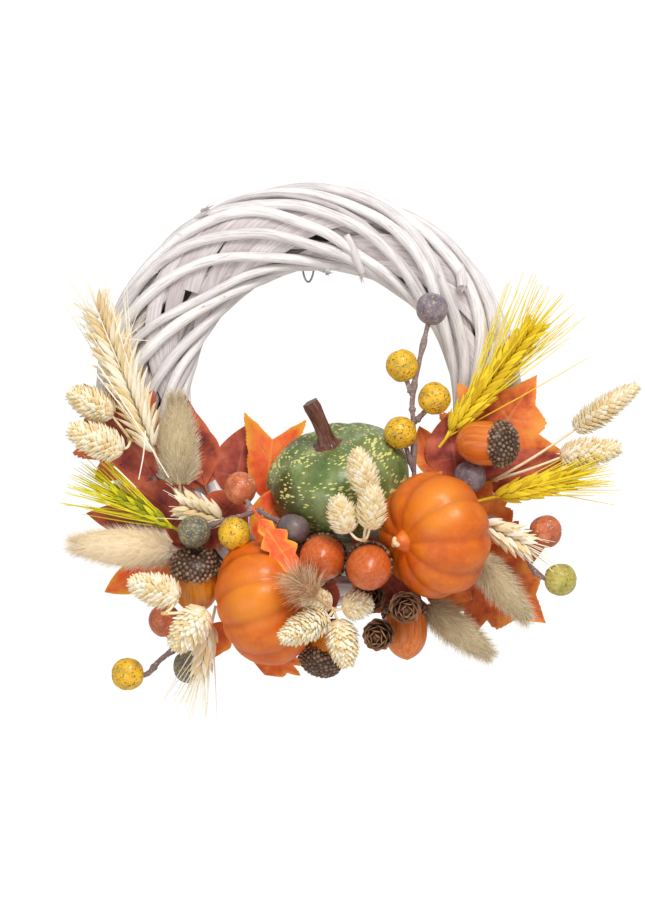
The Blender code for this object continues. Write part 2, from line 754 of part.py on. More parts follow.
def build():
    clear_scene()
    willow = make_material("whitewashed_willow", (0.84, 0.82, 0.77), 0.80)
    split = make_material("split_willow", (0.78, 0.75, 0.68), 0.85)
    wire = make_material("galvanised_wire", (0.55, 0.56, 0.57), 0.40, 1.0)
    green_skin = make_material("green_pumpkin_skin", (0.09, 0.15, 0.05), 0.30)
    orange_skin = make_material("orange_pumpkin_skin", (0.80, 0.20, 0.02), 0.32)
    stalk = make_material("brown_stalk", (0.10, 0.04, 0.03), 0.40)
    nut = make_material("painted_acorn", (0.62, 0.15, 0.03), 0.28)
    cap = make_material("acorn_cap_beads", (0.17, 0.09, 0.05), 0.60)
    cone = make_material("larch_cone_scale", (0.07, 0.03, 0.02), 0.65)
    berry = make_material("waxed_berry", (0.45, 0.25, 0.10), 0.50)
    canary = make_material("dried_canary_grass", (0.86, 0.72, 0.42), 0.85)
    tail_grey = make_material("bunny_tail_grey", (0.48, 0.41, 0.28), 0.95)
    tail_cream = make_material("bunny_tail_cream", (0.84, 0.73, 0.52), 0.95)
    tuft = make_material("brown_plume", (0.36, 0.20, 0.10), 0.95)
    wheat_cream = make_material("dried_wheat", (0.80, 0.63, 0.32), 0.80)
    wheat_yellow = make_material("dyed_yellow_wheat", (0.70, 0.48, 0.02), 0.75)
    wheat_green = make_material("dyed_green_wheat", (0.50, 0.48, 0.02), 0.75)
    leaf_burgundy = make_material("burgundy_fabric_leaf", (0.20, 0.03, 0.02), 0.65)
    leaf_orange = make_material("orange_fabric_leaf", (0.80, 0.25, 0.03), 0.65)
    leaf_red = make_material("red_fabric_leaf", (0.75, 0.10, 0.02), 0.65)
    leaf_brown = make_material("rust_fabric_leaf", (0.50, 0.12, 0.03), 0.65)

    for index in range(ROD_COUNT):
        make_rod(index, willow)
    for index in range(STRIP_COUNT):
        make_strip(index, split)
    rod_centre = make_wire_tie(wire)
    make_hanging_loop(rod_centre, wire)
    make_green_pumpkin(green_skin, stalk)
    make_orange_pumpkin("right", at(75.4, -90.0, -83.5), (-0.78, -0.60, -0.14), orange_skin, stalk)
    make_orange_pumpkin("left", at(-25.0, -76.0, -124.0), (0.93, -0.25, 0.28), orange_skin, None)
    make_acorns(nut, cap)
    make_cone(1, at(57.0, -92.0, -126.0), (0.1, -0.95, -0.2), cone)
    make_cone(2, at(41.8, -88.0, -142.2), (-0.2, -0.95, -0.2), cone)
    make_cone(3, at(36.0, -72.0, -121.0), (-0.2, -0.95, 0.2), cone)
    make_picks(berry)
    make_wheat_ears(wheat_cream, wheat_yellow, wheat_green)
    make_canary_grass(canary)
    make_bunny_tails(tail_grey, tail_cream, tuft)
    make_leaves(leaf_burgundy, leaf_orange, leaf_red, leaf_brown)


build()
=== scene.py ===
"""Harvest door wreath, finished: a whitewashed willow ring with pumpkins,
acorns, berries, grasses and leaves.

Metres, +Z up, the front faces -Y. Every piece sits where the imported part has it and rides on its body.
"""

import math
import random

import bmesh
import bpy
from mathutils import Matrix, Vector, noise


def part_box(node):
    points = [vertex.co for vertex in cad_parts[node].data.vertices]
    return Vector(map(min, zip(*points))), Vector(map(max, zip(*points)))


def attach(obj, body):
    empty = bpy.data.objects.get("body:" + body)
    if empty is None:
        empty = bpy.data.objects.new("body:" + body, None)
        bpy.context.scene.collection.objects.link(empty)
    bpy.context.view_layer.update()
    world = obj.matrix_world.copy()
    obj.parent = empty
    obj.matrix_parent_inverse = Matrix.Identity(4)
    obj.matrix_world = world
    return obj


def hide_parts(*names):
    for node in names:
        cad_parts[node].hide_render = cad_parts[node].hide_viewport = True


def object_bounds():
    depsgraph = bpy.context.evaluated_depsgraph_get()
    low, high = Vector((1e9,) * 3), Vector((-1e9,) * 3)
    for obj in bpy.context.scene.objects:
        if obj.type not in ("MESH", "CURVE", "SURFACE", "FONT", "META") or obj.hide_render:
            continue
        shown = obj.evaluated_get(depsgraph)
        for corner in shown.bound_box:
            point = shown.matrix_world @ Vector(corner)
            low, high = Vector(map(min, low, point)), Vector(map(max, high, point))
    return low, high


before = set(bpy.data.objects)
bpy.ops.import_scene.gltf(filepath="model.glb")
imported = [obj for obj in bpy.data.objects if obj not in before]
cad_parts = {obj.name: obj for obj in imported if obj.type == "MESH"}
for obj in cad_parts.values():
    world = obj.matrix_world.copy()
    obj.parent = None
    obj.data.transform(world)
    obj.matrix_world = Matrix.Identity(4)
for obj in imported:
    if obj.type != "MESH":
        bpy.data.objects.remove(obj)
CAD_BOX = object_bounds()

MM = 0.001
GOLDEN_TURN = math.pi * (3.0 - math.sqrt(5.0))
chance = random.Random(41)
noise.seed_set(41)

# The ring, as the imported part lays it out.
RING_RADIUS = 0.129
RING_INNER = 0.079
INNER_SHIFT = Vector((0.0084, 0.0, -0.0042))
RING_DEPTH = 0.046
RING_BACK_GAP = 0.0015
ROD_RADIUS = 0.0030
ROD_TURNS = 5 / 3
WIRE_RADIUS = 0.0006
TIE_RADIUS = 0.0054
TIE_DROP = 0.0012
LOOP_LENGTH = 0.0285
LOOP_WIDTH = 0.0076
LOOP_ROOM = 0.0014
TUBE_SHIFT = INNER_SHIFT / 2
TUBE_CIRCLE = (RING_RADIUS + RING_INNER) / 2
TUBE_HALF = (RING_RADIUS - RING_INNER) / 2
TUBE_LEAN = TUBE_SHIFT.length
TUBE_LEAN_ANGLE = math.atan2(TUBE_SHIFT.z, TUBE_SHIFT.x)
DEPTH_RATIO = RING_DEPTH / (2 * (TUBE_HALF + TUBE_LEAN))
TUBE_Y = -RING_BACK_GAP - RING_DEPTH / 2
TIE_ANGLE = math.acos(-TUBE_SHIFT.x / TUBE_CIRCLE)


def middle(node):
    """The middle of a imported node's box."""
    low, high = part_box(node)
    return (low + high) / 2


TIE = middle("wire_tie")
RING_Z = TIE.z + TIE_DROP - TUBE_SHIFT.z - TUBE_CIRCLE * math.sin(TIE_ANGLE)


def at(x, y, z):
    """A place in millimetres: x and z from the centre of the ring, y from the door."""
    return Vector((x * MM, y * MM, z * MM + RING_Z))


def aimed(place, direction, spin=0.0):
    """The matrix that puts local +Z along a direction, at a place."""
    turn = Vector(direction).normalized().to_track_quat("Z", "Y").to_matrix().to_4x4()
    return Matrix.Translation(place) @ turn @ Matrix.Rotation(spin, 4, "Z")


def tilted(angle, size):
    """Leans a copy by an angle, after giving it its size."""
    return Matrix.Rotation(angle, 4, "Y") @ Matrix.Scale(size, 4)


def between(low, high):
    """A random number in a range."""
    return low + (high - low) * chance.random()


# Materials


def linear(code):
    """An sRGB hex colour as linear RGBA."""
    parts = [int(code[i : i + 2], 16) / 255 for i in (1, 3, 5)]
    return (*(c / 12.92 if c <= 0.04045 else ((c + 0.055) / 1.055) ** 2.4 for c in parts), 1.0)


def per_mm(size):
    """The scale at which a pattern in metres repeats about every size millimetres."""
    return 1.0 / (size * MM)


def add(tree, kind, inputs=None, stops=None, **settings):
    """Adds a node: its inputs (a value, a hex colour, a socket or a node), a ramp's stops, its settings."""
    node = tree.nodes.new("ShaderNode" + kind)
    for name, value in settings.items():
        setattr(node, name, value)
    for socket, value in (inputs or {}).items():
        if isinstance(value, bpy.types.Node):
            value = value.outputs[0]
        elif isinstance(value, str):
            value = linear(value)
        if isinstance(value, bpy.types.NodeSocket):
            tree.links.new(value, node.inputs[socket])
        else:
            node.inputs[socket].default_value = value
    if stops:
        ramp = node.color_ramp.elements
        while len(ramp) < len(stops):
            ramp.new(1.0)
        for element, (place, code) in zip(ramp, stops):
            element.position = place
            element.color = linear(code)
    return node


def new_material(name, colour, roughness, ior=1.5, **sockets):
    """A material with its constant values on the shader; returns it, its tree and the shader."""
    material = bpy.data.materials.new(name)
    material.use_nodes = True
    material.diffuse_color = linear(colour)
    tree = material.node_tree
    shader = tree.nodes["Principled BSDF"]
    shader.inputs["Base Color"].default_value = linear(colour)
    shader.inputs["Roughness"].default_value = roughness
    shader.inputs["IOR"].default_value = ior
    for socket, value in sockets.items():
        shader.inputs[socket.replace("_", " ")].default_value = value
    return material, tree, shader


def attribute(tree, name):
    return add(tree, "Attribute", attribute_name=name)


def noise_along(tree, stretch, size, detail, roughness=0.5):
    """Noise drawn out along the grain: its size is in millimetres across, and its length that / stretch."""
    drawn = add(tree, "Mapping", {"Vector": attribute(tree, "grain"), "Scale": (stretch, 1.0, 1.0)})
    inputs = {"Vector": drawn, "Scale": per_mm(size), "Detail": detail, "Roughness": roughness}
    return add(tree, "TexNoise", inputs)


def noise_through(tree, size, detail, roughness=0.5):
    """Noise through the body of the piece, its size in millimetres."""
    place = add(tree, "TexCoord").outputs["Object"]
    inputs = {"Vector": place, "Scale": per_mm(size), "Detail": detail, "Roughness": roughness}
    return add(tree, "TexNoise", inputs)


def ranged(tree, value, low, high, to_low, to_high):
    """Carries a range of values onto another range, and holds it there."""
    return add(tree, "MapRange", {0: value, 1: low, 2: high, 3: to_low, 4: to_high})


def shaded(tree, value, stops, colours):
    """A ramp through the colours, one at each stop."""
    return add(tree, "ValToRGB", {0: value}, list(zip(stops, colours)))


def mixed(tree, share, under, over, how="MIX"):
    """One colour laid over another."""
    node = add(tree, "Mix", {0: share, 6: under, 7: over}, data_type="RGBA", blend_type=how)
    return node.outputs[2]


def maths(tree, operation, first, second):
    return add(tree, "Math", {0: first, 1: second}, operation=operation)


def surface(tree, shader, colour, height, depth, strength=1.0):
    """Feeds the shader its colour and a relief, whose depth is in millimetres."""
    if isinstance(colour, bpy.types.Node):
        colour = colour.outputs[0]
    tree.links.new(colour, shader.inputs["Base Color"])
    bump = add(tree, "Bump", {"Height": height, "Distance": depth * MM, "Strength": strength})
    tree.links.new(bump.outputs[0], shader.inputs["Normal"])


def willow(name, wash, bare, bare_share):
    """Peeled willow brushed with thin white paint: chalky, the tan wood showing through in long streaks."""
    material, tree, shader = new_material(name, wash[-1], 0.72, 1.48)
    fibres = noise_along(tree, 0.07, 1.1, 5.0, 0.6)
    wear = noise_along(tree, 0.35, 7.0, 6.0, 0.68)
    shade = mixed(tree, attribute(tree, "tone"), "#b9aeb1", "#ffffff")
    white = shaded(tree, fibres, (0.30, 0.46, 0.62), wash)
    tinted = mixed(tree, 0.75, white, shade, "MULTIPLY")
    wood = shaded(tree, fibres, (0.32, 0.50, 0.66), bare)
    worn = ranged(tree, wear, bare_share - 0.05, bare_share + 0.03, 1.0, 0.0)
    surface(tree, shader, mixed(tree, worn, tinted, wood), fibres, 0.5)
    return material


def wire():
    """Galvanised steel wire, drawn: grey, satin, with fine lengthwise lines and duller patches of zinc."""
    material, tree, shader = new_material("galvanised_wire_drawn", "#9c9ea1", 0.4, 1.45, Metallic=1.0)
    lines = noise_along(tree, 0.1, 0.4, 3.0)
    dull = ranged(tree, lines, 0.3, 0.7, 0.5, 0.3)
    tree.links.new(dull.outputs[0], shader.inputs["Roughness"])
    surface(tree, shader, shaded(tree, lines, (0.3, 0.7), ("#7d8084", "#b9babc")), lines, 0.04)
    return material


def rind(name, ground, fleck, fleck_range, groove, patch, patch_place, patch_reach, gloss):
    """Waxed gourd skin: glossy, flecked in clusters, darker in its grooves, with one patch: brown skin on the
    green gourd, a painted sheen on the orange ones.
    """
    material, tree, shader = new_material(name, ground[1], gloss, 1.46, Coat_Weight=0.12, Coat_Roughness=0.22)
    mottle = noise_through(tree, 16.0, 5.0, 0.6)
    fine = noise_through(tree, 2.2, 3.0)
    base = shaded(tree, mottle, (0.30, 0.50, 0.70), ground)
    place = add(tree, "TexCoord").outputs["Object"]
    far = add(tree, "VectorMath", {0: place, 1: patch_place}, operation="DISTANCE").outputs["Value"]
    ragged = maths(tree, "ADD", far, ranged(tree, mottle, 0.3, 0.7, -8.0 * MM, 8.0 * MM))
    # How much of the patch lies here. On the green gourd it is a brown patch of the skin; on the orange gourds
    # it is a painted sheen, a paler band.
    patch_or_sheen_share = ranged(tree, ragged, patch_reach * 0.45, patch_reach, 0.7, 0.0)
    rib = ranged(tree, attribute(tree, "tone"), 0.0, 0.55, 0.35, 0.0)
    ribbed = mixed(tree, rib, mixed(tree, patch_or_sheen_share, base, patch), groove)
    drawn_out = add(tree, "Mapping", {"Vector": attribute(tree, "grain"), "Scale": (1.0, 0.5, 0.5)})
    dots = add(tree, "TexVoronoi", {"Vector": drawn_out, "Scale": per_mm(2.7), "Randomness": 1.0})
    size = ranged(tree, noise_through(tree, 30.0, 3.0), 0.38, 0.62, *fleck_range)
    spots = maths(tree, "LESS_THAN", dots.outputs["Distance"], size)
    rough = ranged(tree, fine, 0.3, 0.7, gloss - 0.06, gloss + 0.14)
    tree.links.new(rough.outputs[0], shader.inputs["Roughness"])
    surface(tree, shader, mixed(tree, spots, ribbed, fleck), fine, 0.35, 0.6)
    return material


def stalk(name, colours, roughness):
    """Dried gourd stalk: corky and ridged lengthwise, dark and shining where varnished, pale where broken."""
    material, tree, shader = new_material(name, colours[1], roughness, 1.5)
    cork = noise_along(tree, 0.15, 1.4, 5.0, 0.6)
    surface(tree, shader, shaded(tree, cork, (0.30, 0.52, 0.74), colours), cork, 0.25)
    return material


def painted_nut(name, colours):
    """Wooden nut, dyed and lacquered: glossy, fine darker lines running to the tip, a paler blush."""
    material, tree, shader = new_material(name, colours[1], 0.34, 1.5, Coat_Weight=0.25, Coat_Roughness=0.2)
    lines = noise_along(tree, 0.05, 1.6, 4.0)
    blush = ranged(tree, noise_along(tree, 1.0, 9.0, 3.0), 0.5, 0.75, 0.0, 0.5)
    dye = shaded(tree, lines, (0.28, 0.5, 0.72), colours)
    surface(tree, shader, mixed(tree, blush, dye, colours[2]), lines, 0.12)
    return material


def dry_scale(name, colours, size, roughness=0.65, gloss=0.0, rim=0.0):
    """Woody scales and beads: each its own shade, faintly grained, paler at the rim of a scale that long."""
    material, tree, shader = new_material(name, colours[1], roughness, 1.47, Coat_Weight=gloss)
    grit = noise_through(tree, size, 4.0, 0.6)
    shade = maths(tree, "MULTIPLY", maths(tree, "ADD", attribute(tree, "tone"), grit), 0.5)
    if rim:
        out = add(tree, "SeparateXYZ", {0: attribute(tree, "grain").outputs["Vector"]})
        shade = maths(tree, "ADD", shade, ranged(tree, out, rim * 0.62, rim * 0.98, -0.12, 0.34))
    surface(tree, shader, shaded(tree, shade, (0.22, 0.48, 0.76), colours), grit, size * 0.15)
    return material


def straw(name, colours, roughness=0.75):
    """Dried or dyed grass: matt, silky along the fibre, each husk a slightly different straw shade."""
    fuzz = {"Sheen_Weight": 0.15, "Sheen_Roughness": 0.4}
    material, tree, shader = new_material(name, colours[1], roughness, 1.45, **fuzz)
    fibres = noise_along(tree, 0.12, 0.8, 3.0)
    shade = maths(tree, "ADD", attribute(tree, "tone"), ranged(tree, fibres, 0.2, 0.8, -0.22, 0.22))
    surface(tree, shader, shaded(tree, shade, (0.08, 0.5, 0.92), colours), fibres, 0.15)
    return material


def fabric_leaf(name, blade, edge, vein):
    """Printed cloth leaf: matt weave, veins in a paler print, the dye running to another shade at the rim."""
    material, tree, shader = new_material(name, blade[1], 0.55, 1.45, Sheen_Weight=0.15, Sheen_Roughness=0.5)
    # A weave of 0.35 mm threads would be lost, so it is drawn at 0.9 mm.
    weave = noise_through(tree, 0.9, 2.0)
    dye = noise_through(tree, 13.0, 5.0, 0.6)
    base = shaded(tree, dye, (0.32, 0.5, 0.68), blade)
    edged = maths(tree, "ADD", attribute(tree, "tone"), ranged(tree, dye, 0.3, 0.7, -0.25, 0.25))
    rimmed = mixed(tree, ranged(tree, edged, 0.62, 1.05, 0.0, 0.9), base, edge)
    printed = maths(tree, "MULTIPLY", attribute(tree, "vein"), 0.38)
    surface(tree, shader, mixed(tree, printed, rimmed, vein), weave, 0.25, 0.7)
    return material


def wax(name, colours, fleck, fleck_share):
    """Foam berry dipped in tinted wax: satin, cloudy, with flecks of powder on it."""
    wet = {"Subsurface_Weight": 0.12, "Subsurface_Scale": 0.002, "Coat_Weight": 0.15}
    material, tree, shader = new_material(name, colours[1], 0.45, 1.44, **wet)
    cloud = shaded(tree, noise_through(tree, 6.5, 6.0, 0.72), (0.32, 0.5, 0.68), colours)
    grit = noise_through(tree, 1.3, 3.0)
    powder = ranged(tree, grit, 0.97 - fleck_share, 1.03 - fleck_share, 0.0, 0.9)
    surface(tree, shader, mixed(tree, powder, cloud, fleck), grit, 0.3)
    return material


# Shapes


def blank():
    """An empty shape and the two layers that the materials read: the way of the grain, and the tone."""
    bm = bmesh.new()
    return bm, bm.verts.layers.float_vector.new("grain"), bm.verts.layers.float.new("tone")


def gathered():
    """An empty shape to join others into."""
    return blank()[0]


def path_lengths(points):
    """How far along the path each point is."""
    total, lengths = 0.0, [0.0]
    for low, high in zip(points, points[1:]):
        total += (high - low).length
        lengths.append(total)
    return lengths


def curve_through(points, steps):
    """A smooth path through the points, with so many steps between each pair."""
    ends = [points[0] * 2 - points[1], *points, points[-1] * 2 - points[-2]]
    path = []
    for a, b, c, d in zip(ends, ends[1:], ends[2:], ends[3:]):
        for k in range(steps):
            t = k / steps
            path.append(
                ((b * 2) + (c - a) * t + (a * 2 - b * 5 + c * 4 - d) * t**2 + (b * 3 - a - c * 3 + d) * t**3) / 2
            )
    return path + [points[-1]]


def ramped(values, count):
    """The values stretched out to a count, by straight interpolation."""
    out = []
    for i in range(count):
        t = i / (count - 1) * (len(values) - 1)
        k = min(int(t), len(values) - 2)
        out.append(values[k] + (values[k + 1] - values[k]) * (t - k))
    return out


def weld(bm):
    """Merges the seam and the poles, caps open ends and turns every face outwards."""
    bmesh.ops.remove_doubles(bm, verts=bm.verts, dist=1e-7)
    bmesh.ops.holes_fill(bm, edges=[edge for edge in bm.edges if edge.is_boundary], sides=0)
    bmesh.ops.recalc_face_normals(bm, faces=bm.faces)
    return bm


def stem(points, radii, sides=8, tone=0.5, flat=1.0, facing=None, closed=False):
    """A stem through the points: a sheet wrapped round them. Facing sets which way a flat stem lies."""
    rows = len(points) + (1 if closed else 0)
    radii = ramped(radii, len(points)) if len(radii) != len(points) else radii
    bm, grain, tones = blank()
    bmesh.ops.create_grid(bm, x_segments=rows - 1, y_segments=sides, size=0.5)
    side, frames = None, []
    last = len(points) - 1
    for i in range(len(points)):
        before = points[i - 1] if closed or i else points[i]
        after = points[(i + 1) % len(points)] if closed or i < last else points[i]
        ahead = (after - before).normalized()
        wanted = facing[i] if facing else side or ahead.orthogonal()
        side = (wanted - ahead * wanted.dot(ahead)).normalized()
        frames.append((side, ahead.cross(side)))
    lengths = path_lengths(points)
    offset = chance.random()
    for vert in bm.verts:
        row = round((vert.co.x + 0.5) * (rows - 1)) % len(points)
        turn = math.tau * (vert.co.y + 0.5)
        out, across = frames[row]
        radius = radii[row]
        vert[grain] = (lengths[row] + offset, radius * math.cos(turn), radius * math.sin(turn))
        vert[tones] = tone
        vert.co = points[row] + out * (radius * flat * math.cos(turn)) + across * (radius * math.sin(turn))
    return weld(bm)


def turned(profile, sides, steps=4, tone=0.5, wide=MM, tall=MM):
    """Turns a smooth (radius, height) profile about Z; its units are wide and tall metres."""
    line = curve_through([Vector((radius * wide, 0.0, height * tall)) for radius, height in profile], steps)
    for point in line:
        point.x = max(point.x, 0.0)
    line[0].x = line[-1].x = 0.0
    bm, grain, tones = blank()
    verts = [bm.verts.new(point) for point in line]
    spun = verts + [bm.edges.new(pair) for pair in zip(verts, verts[1:])]
    about = {"cent": (0, 0, 0), "axis": (0, 0, 1), "angle": math.tau, "use_merge": True}
    bmesh.ops.spin(bm, geom=spun, steps=sides, **about)
    weld(bm)
    for vert in bm.verts:
        vert[grain] = (vert.co.z, vert.co.x, vert.co.y)
        vert[tones] = tone
    return bm


def as_mesh(bm, name="template"):
    mesh = bpy.data.meshes.new(name)
    bm.to_mesh(mesh)
    bm.free()
    return mesh


def scatter(target, template, places):
    """Adds a copy of the template at each (matrix, tone)."""
    for matrix, tone in places:
        copy = template.copy()
        copy.transform(matrix)
        copy.attributes["tone"].data.foreach_set("value", [tone] * len(copy.vertices))
        target.from_mesh(copy)
        bpy.data.meshes.remove(copy)


def join(target, bm):
    """Moves a finished shape into the target."""
    mesh = as_mesh(bm)
    target.from_mesh(mesh)
    bpy.data.meshes.remove(mesh)


def moved(bm, matrix):
    bmesh.ops.transform(bm, matrix=matrix, verts=bm.verts)
    return bm


def piece(name, bm, material, nodes=(), body="wreath", crease=50.0):
    """Makes the finished piece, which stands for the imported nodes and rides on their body."""
    mesh = as_mesh(bm, name)
    mesh.materials.append(material)
    mesh.shade_smooth()
    mesh.set_sharp_from_angle(angle=math.radians(crease))
    obj = bpy.data.objects.new(name, mesh)
    bpy.context.scene.collection.objects.link(obj)
    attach(obj, body)
    if nodes:
        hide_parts(*nodes)
    return obj


def bent(point, reach, seed=0.0):
    """A smooth wander of a point: noise with features as long as the reach."""
    return noise.noise_vector((point + Vector((seed, seed * 1.7, 0.0))) / reach)


# Willow ring


def tube_point(ring_angle, tube_angle, inset):
    """A point inside the skin of the ring's tube, and the direction out of the tube there."""
    half = TUBE_HALF - TUBE_LEAN * math.cos(ring_angle - TUBE_LEAN_ANGLE)
    flat = half - inset
    deep = half * DEPTH_RATIO - inset
    outward = Vector((math.cos(ring_angle), 0.0, math.sin(ring_angle)))
    centre = Vector((TUBE_SHIFT.x, TUBE_Y, TUBE_SHIFT.z + RING_Z)) + outward * TUBE_CIRCLE
    offset = outward * (flat * math.cos(tube_angle)) + Vector((0.0, -deep * math.sin(tube_angle), 0.0))
    normal = outward * (math.cos(tube_angle) / flat) + Vector((0.0, -math.sin(tube_angle) / deep, 0.0))
    return centre + offset, normal.normalized()


def wind(start, sweep, phase, turns, inset, wander, step=0.05):
    """A path wound round the ring's tube: where it starts, how far it goes, and how it wanders."""
    seed = chance.random() * 50.0
    path, facing = [], []
    count = max(3, int(abs(sweep) / step))
    for i in range(count + 1):
        ring_angle = start + sweep * i / count
        # At the tie every rod is where its solid is, so that the wire goes round one of them.
        aside = TUBE_CIRCLE * math.remainder(ring_angle - TIE_ANGLE, math.tau)
        free = 1.0 - 0.8 * math.exp(-((aside / (3.0 * LOOP_WIDTH)) ** 2))
        drift = free * wander * noise.noise(Vector((seed, ring_angle * 1.3, 0.0)))
        tube_angle = phase + turns * (ring_angle - TIE_ANGLE) + drift
        lift = 0.4 * MM * noise.noise(Vector((seed, ring_angle * 4.0, 5.0)))
        # Behind the tie the rods lie lower, so that the loop swings clear of them.
        lift += LOOP_ROOM * math.exp(-((aside / (2.0 * LOOP_WIDTH)) ** 2)) * max(0.0, -math.sin(tube_angle))
        point, normal = tube_point(ring_angle, tube_angle, inset + lift)
        path.append(point)
        facing.append(normal)
    return path, facing


def knotty(count, radius, taper, knots=0.12, every=23):
    """The radii of a willow rod: it tapers, and swells a little where a twig was cut away."""
    seed = chance.randrange(every)
    radii = []
    for i in range(count):
        near = math.exp(-(((i + seed) % every - every / 2) ** 2) / 1.2)
        rough = 0.05 * noise.noise(Vector((i * 0.35, seed, 0.0)))
        radii.append(radius * (1.0 - taper * i / count) * (1.0 + knots * near + rough))
    return radii


def willow_rods():
    """The long rods on the outside: four of three laps, with a slimmer one laid beside them."""
    bm = gathered()
    for index in range(4):
        phase = math.radians(-90.0 + 30.0 * index)
        start = math.radians(-60.0 - 9.0 * index)
        sweep = math.tau * 3 - math.radians(5.0)
        path, facing = wind(start, sweep, phase, -ROD_TURNS, ROD_RADIUS + 0.5 * MM, 0.40)
        radii = knotty(len(path), ROD_RADIUS * between(1.08, 1.20), 0.14)
        # A rod is stout for a stretch and slender for the next.
        for i in range(len(radii)):
            radii[i] *= 1.04 + 0.30 * noise.noise(Vector((i * 0.035, index * 7.3, 2.0)))
        join(bm, stem(path, radii, 12, between(0.6, 1.0), facing=facing))
    phase = math.radians(-75.0 + between(-8.0, 8.0))
    start = math.tau * chance.random()
    sweep = math.tau * between(0.8, 1.4)
    path, facing = wind(start, sweep, phase, -ROD_TURNS, between(3.2, 5.0) * MM, 0.3)
    radii = knotty(len(path), between(1.7, 2.5) * MM, 0.3)
    join(bm, stem(path, radii, 10, between(0.2, 1.0), facing=facing))
    return bm


def under_rods():
    """Slimmer rods underneath, wound both ways, that fill the ring."""
    bm = gathered()
    count = 22
    for index in range(count):
        phase = math.tau * index / count + between(-0.1, 0.1)
        turns = (-1.2, 0.9, -2.0)[index % 3]
        path, facing = wind(math.tau * chance.random(), math.tau * 0.97, phase, turns, 11.4 * MM, 0.3)
        radii = knotty(len(path), between(3.2, 4.2) * MM, 0.2)
        join(bm, stem(path, radii, 8, between(0.2, 0.9), facing=facing))
    return bm


def willow_strips():
    """Flat strips of split willow, wound the other way round under the rods."""
    bm = gathered()
    count = 13
    for index in range(count):
        phase = math.tau * index / count + between(-0.08, 0.08)
        start = math.tau * chance.random()
        path, facing = wind(start, math.tau * 0.97, phase, 2.1, between(6.6, 7.6) * MM, 0.16, 0.045)
        width = ramped([between(4.8, 6.0) * MM, between(4.4, 5.6) * MM, between(4.6, 5.8) * MM], len(path))
        join(bm, stem(path, width, 12, between(0.15, 1.0), flat=0.2, facing=facing))
    return bm


def splinters():
    """Frayed ends: rods cut short and slivers that stand off the ring."""
    bm = gathered()
    # Each cut end: where it is round the ring and round its tube in degrees, radius, sweep and turns.
    ends = (
        (37.0, 72.0, 3.4, 0.10, -0.5),
        (70.0, 150.0, 2.6, 0.16, -0.9),
        (84.0, 160.0, 1.6, 0.14, 0.7),
        (120.0, 28.0, 1.8, 0.12, -0.6),
        (20.0, 60.0, 2.2, 0.22, -0.8),
    )
    for ring_degrees, tube_degrees, radius, sweep, turns in ends:
        ring_angle, tube_angle = math.radians(ring_degrees), math.radians(tube_degrees)
        path, facing = [], []
        for i in range(9):
            t = i / 8
            point, normal = tube_point(ring_angle + sweep * t, tube_angle + turns * t, 3.0 * MM)
            path.append(point + normal * (4.0 * MM * (1.0 - t) ** 2))
            facing.append(normal)
        join(bm, stem(path, [radius * MM * 0.9, radius * MM, radius * MM * 0.8], 10, 0.9, facing=facing))
        for _ in range(7):
            root, out = tube_point(ring_angle, tube_angle, 1.0 * MM)
            root = root + out * 4.0 * MM + bent(Vector((chance.random(), 0, 0)), 0.1) * 2.0 * MM
            away = (path[0] - path[2]).normalized() + Vector((between(-0.3, 0.3), 0, between(-0.3, 0.3)))
            tip = root + away * between(2.0, 6.0) * MM
            join(bm, stem([root - away * 4.0 * MM, root, tip], [0.5 * MM, 0.35 * MM, 0.06 * MM], 5, 0.3))
    for _ in range(60):
        ring_angle = chance.random() * math.tau
        tube_angle = math.radians(between(20.0, 170.0))
        point, normal = tube_point(ring_angle, tube_angle, 1.0 * MM)
        ahead = tube_point(ring_angle + 0.1, tube_angle - 0.12, 1.0 * MM)[0] - point
        way = ahead.normalized() + normal * between(0.05, 0.3)
        tip = point + way * between(3.0, 9.0) * MM
        sliver = [point, (point + tip) / 2 + normal * 0.3 * MM, tip]
        join(bm, stem(sliver, [0.28 * MM, 0.2 * MM, 0.05 * MM], 5, 0.4))
    return bm


def wire_oval(centre, width, height, upright):
    """A closed oval of wire: upright in the plane of the door, or edge on to it."""
    points = []
    for i in range(72):
        turn = math.tau * i / 72
        sideways, up = width * math.sin(turn), height * math.cos(turn)
        offset = Vector((sideways, 0.0, up)) if upright else Vector((0.0, sideways, up))
        points.append(centre + offset)
    return stem(points, [WIRE_RADIUS] * 72, 12, closed=True)


def tie_twist(bottom):
    """The twisted ends of the tie, two strands wound round each other."""
    bm = gathered()
    for strand in (0.0, math.pi):
        points = []
        for i in range(40):
            turn = strand + i * 0.55
            drop = Vector((0.05, 0.4, -1.0)) * (i * 0.17 * MM)
            points.append(bottom + drop + Vector((math.cos(turn), math.sin(turn), 0.0)) * 0.65 * MM)
        join(bm, stem(points, [0.5 * MM] * 40, 8))
    return bm


# Fruit


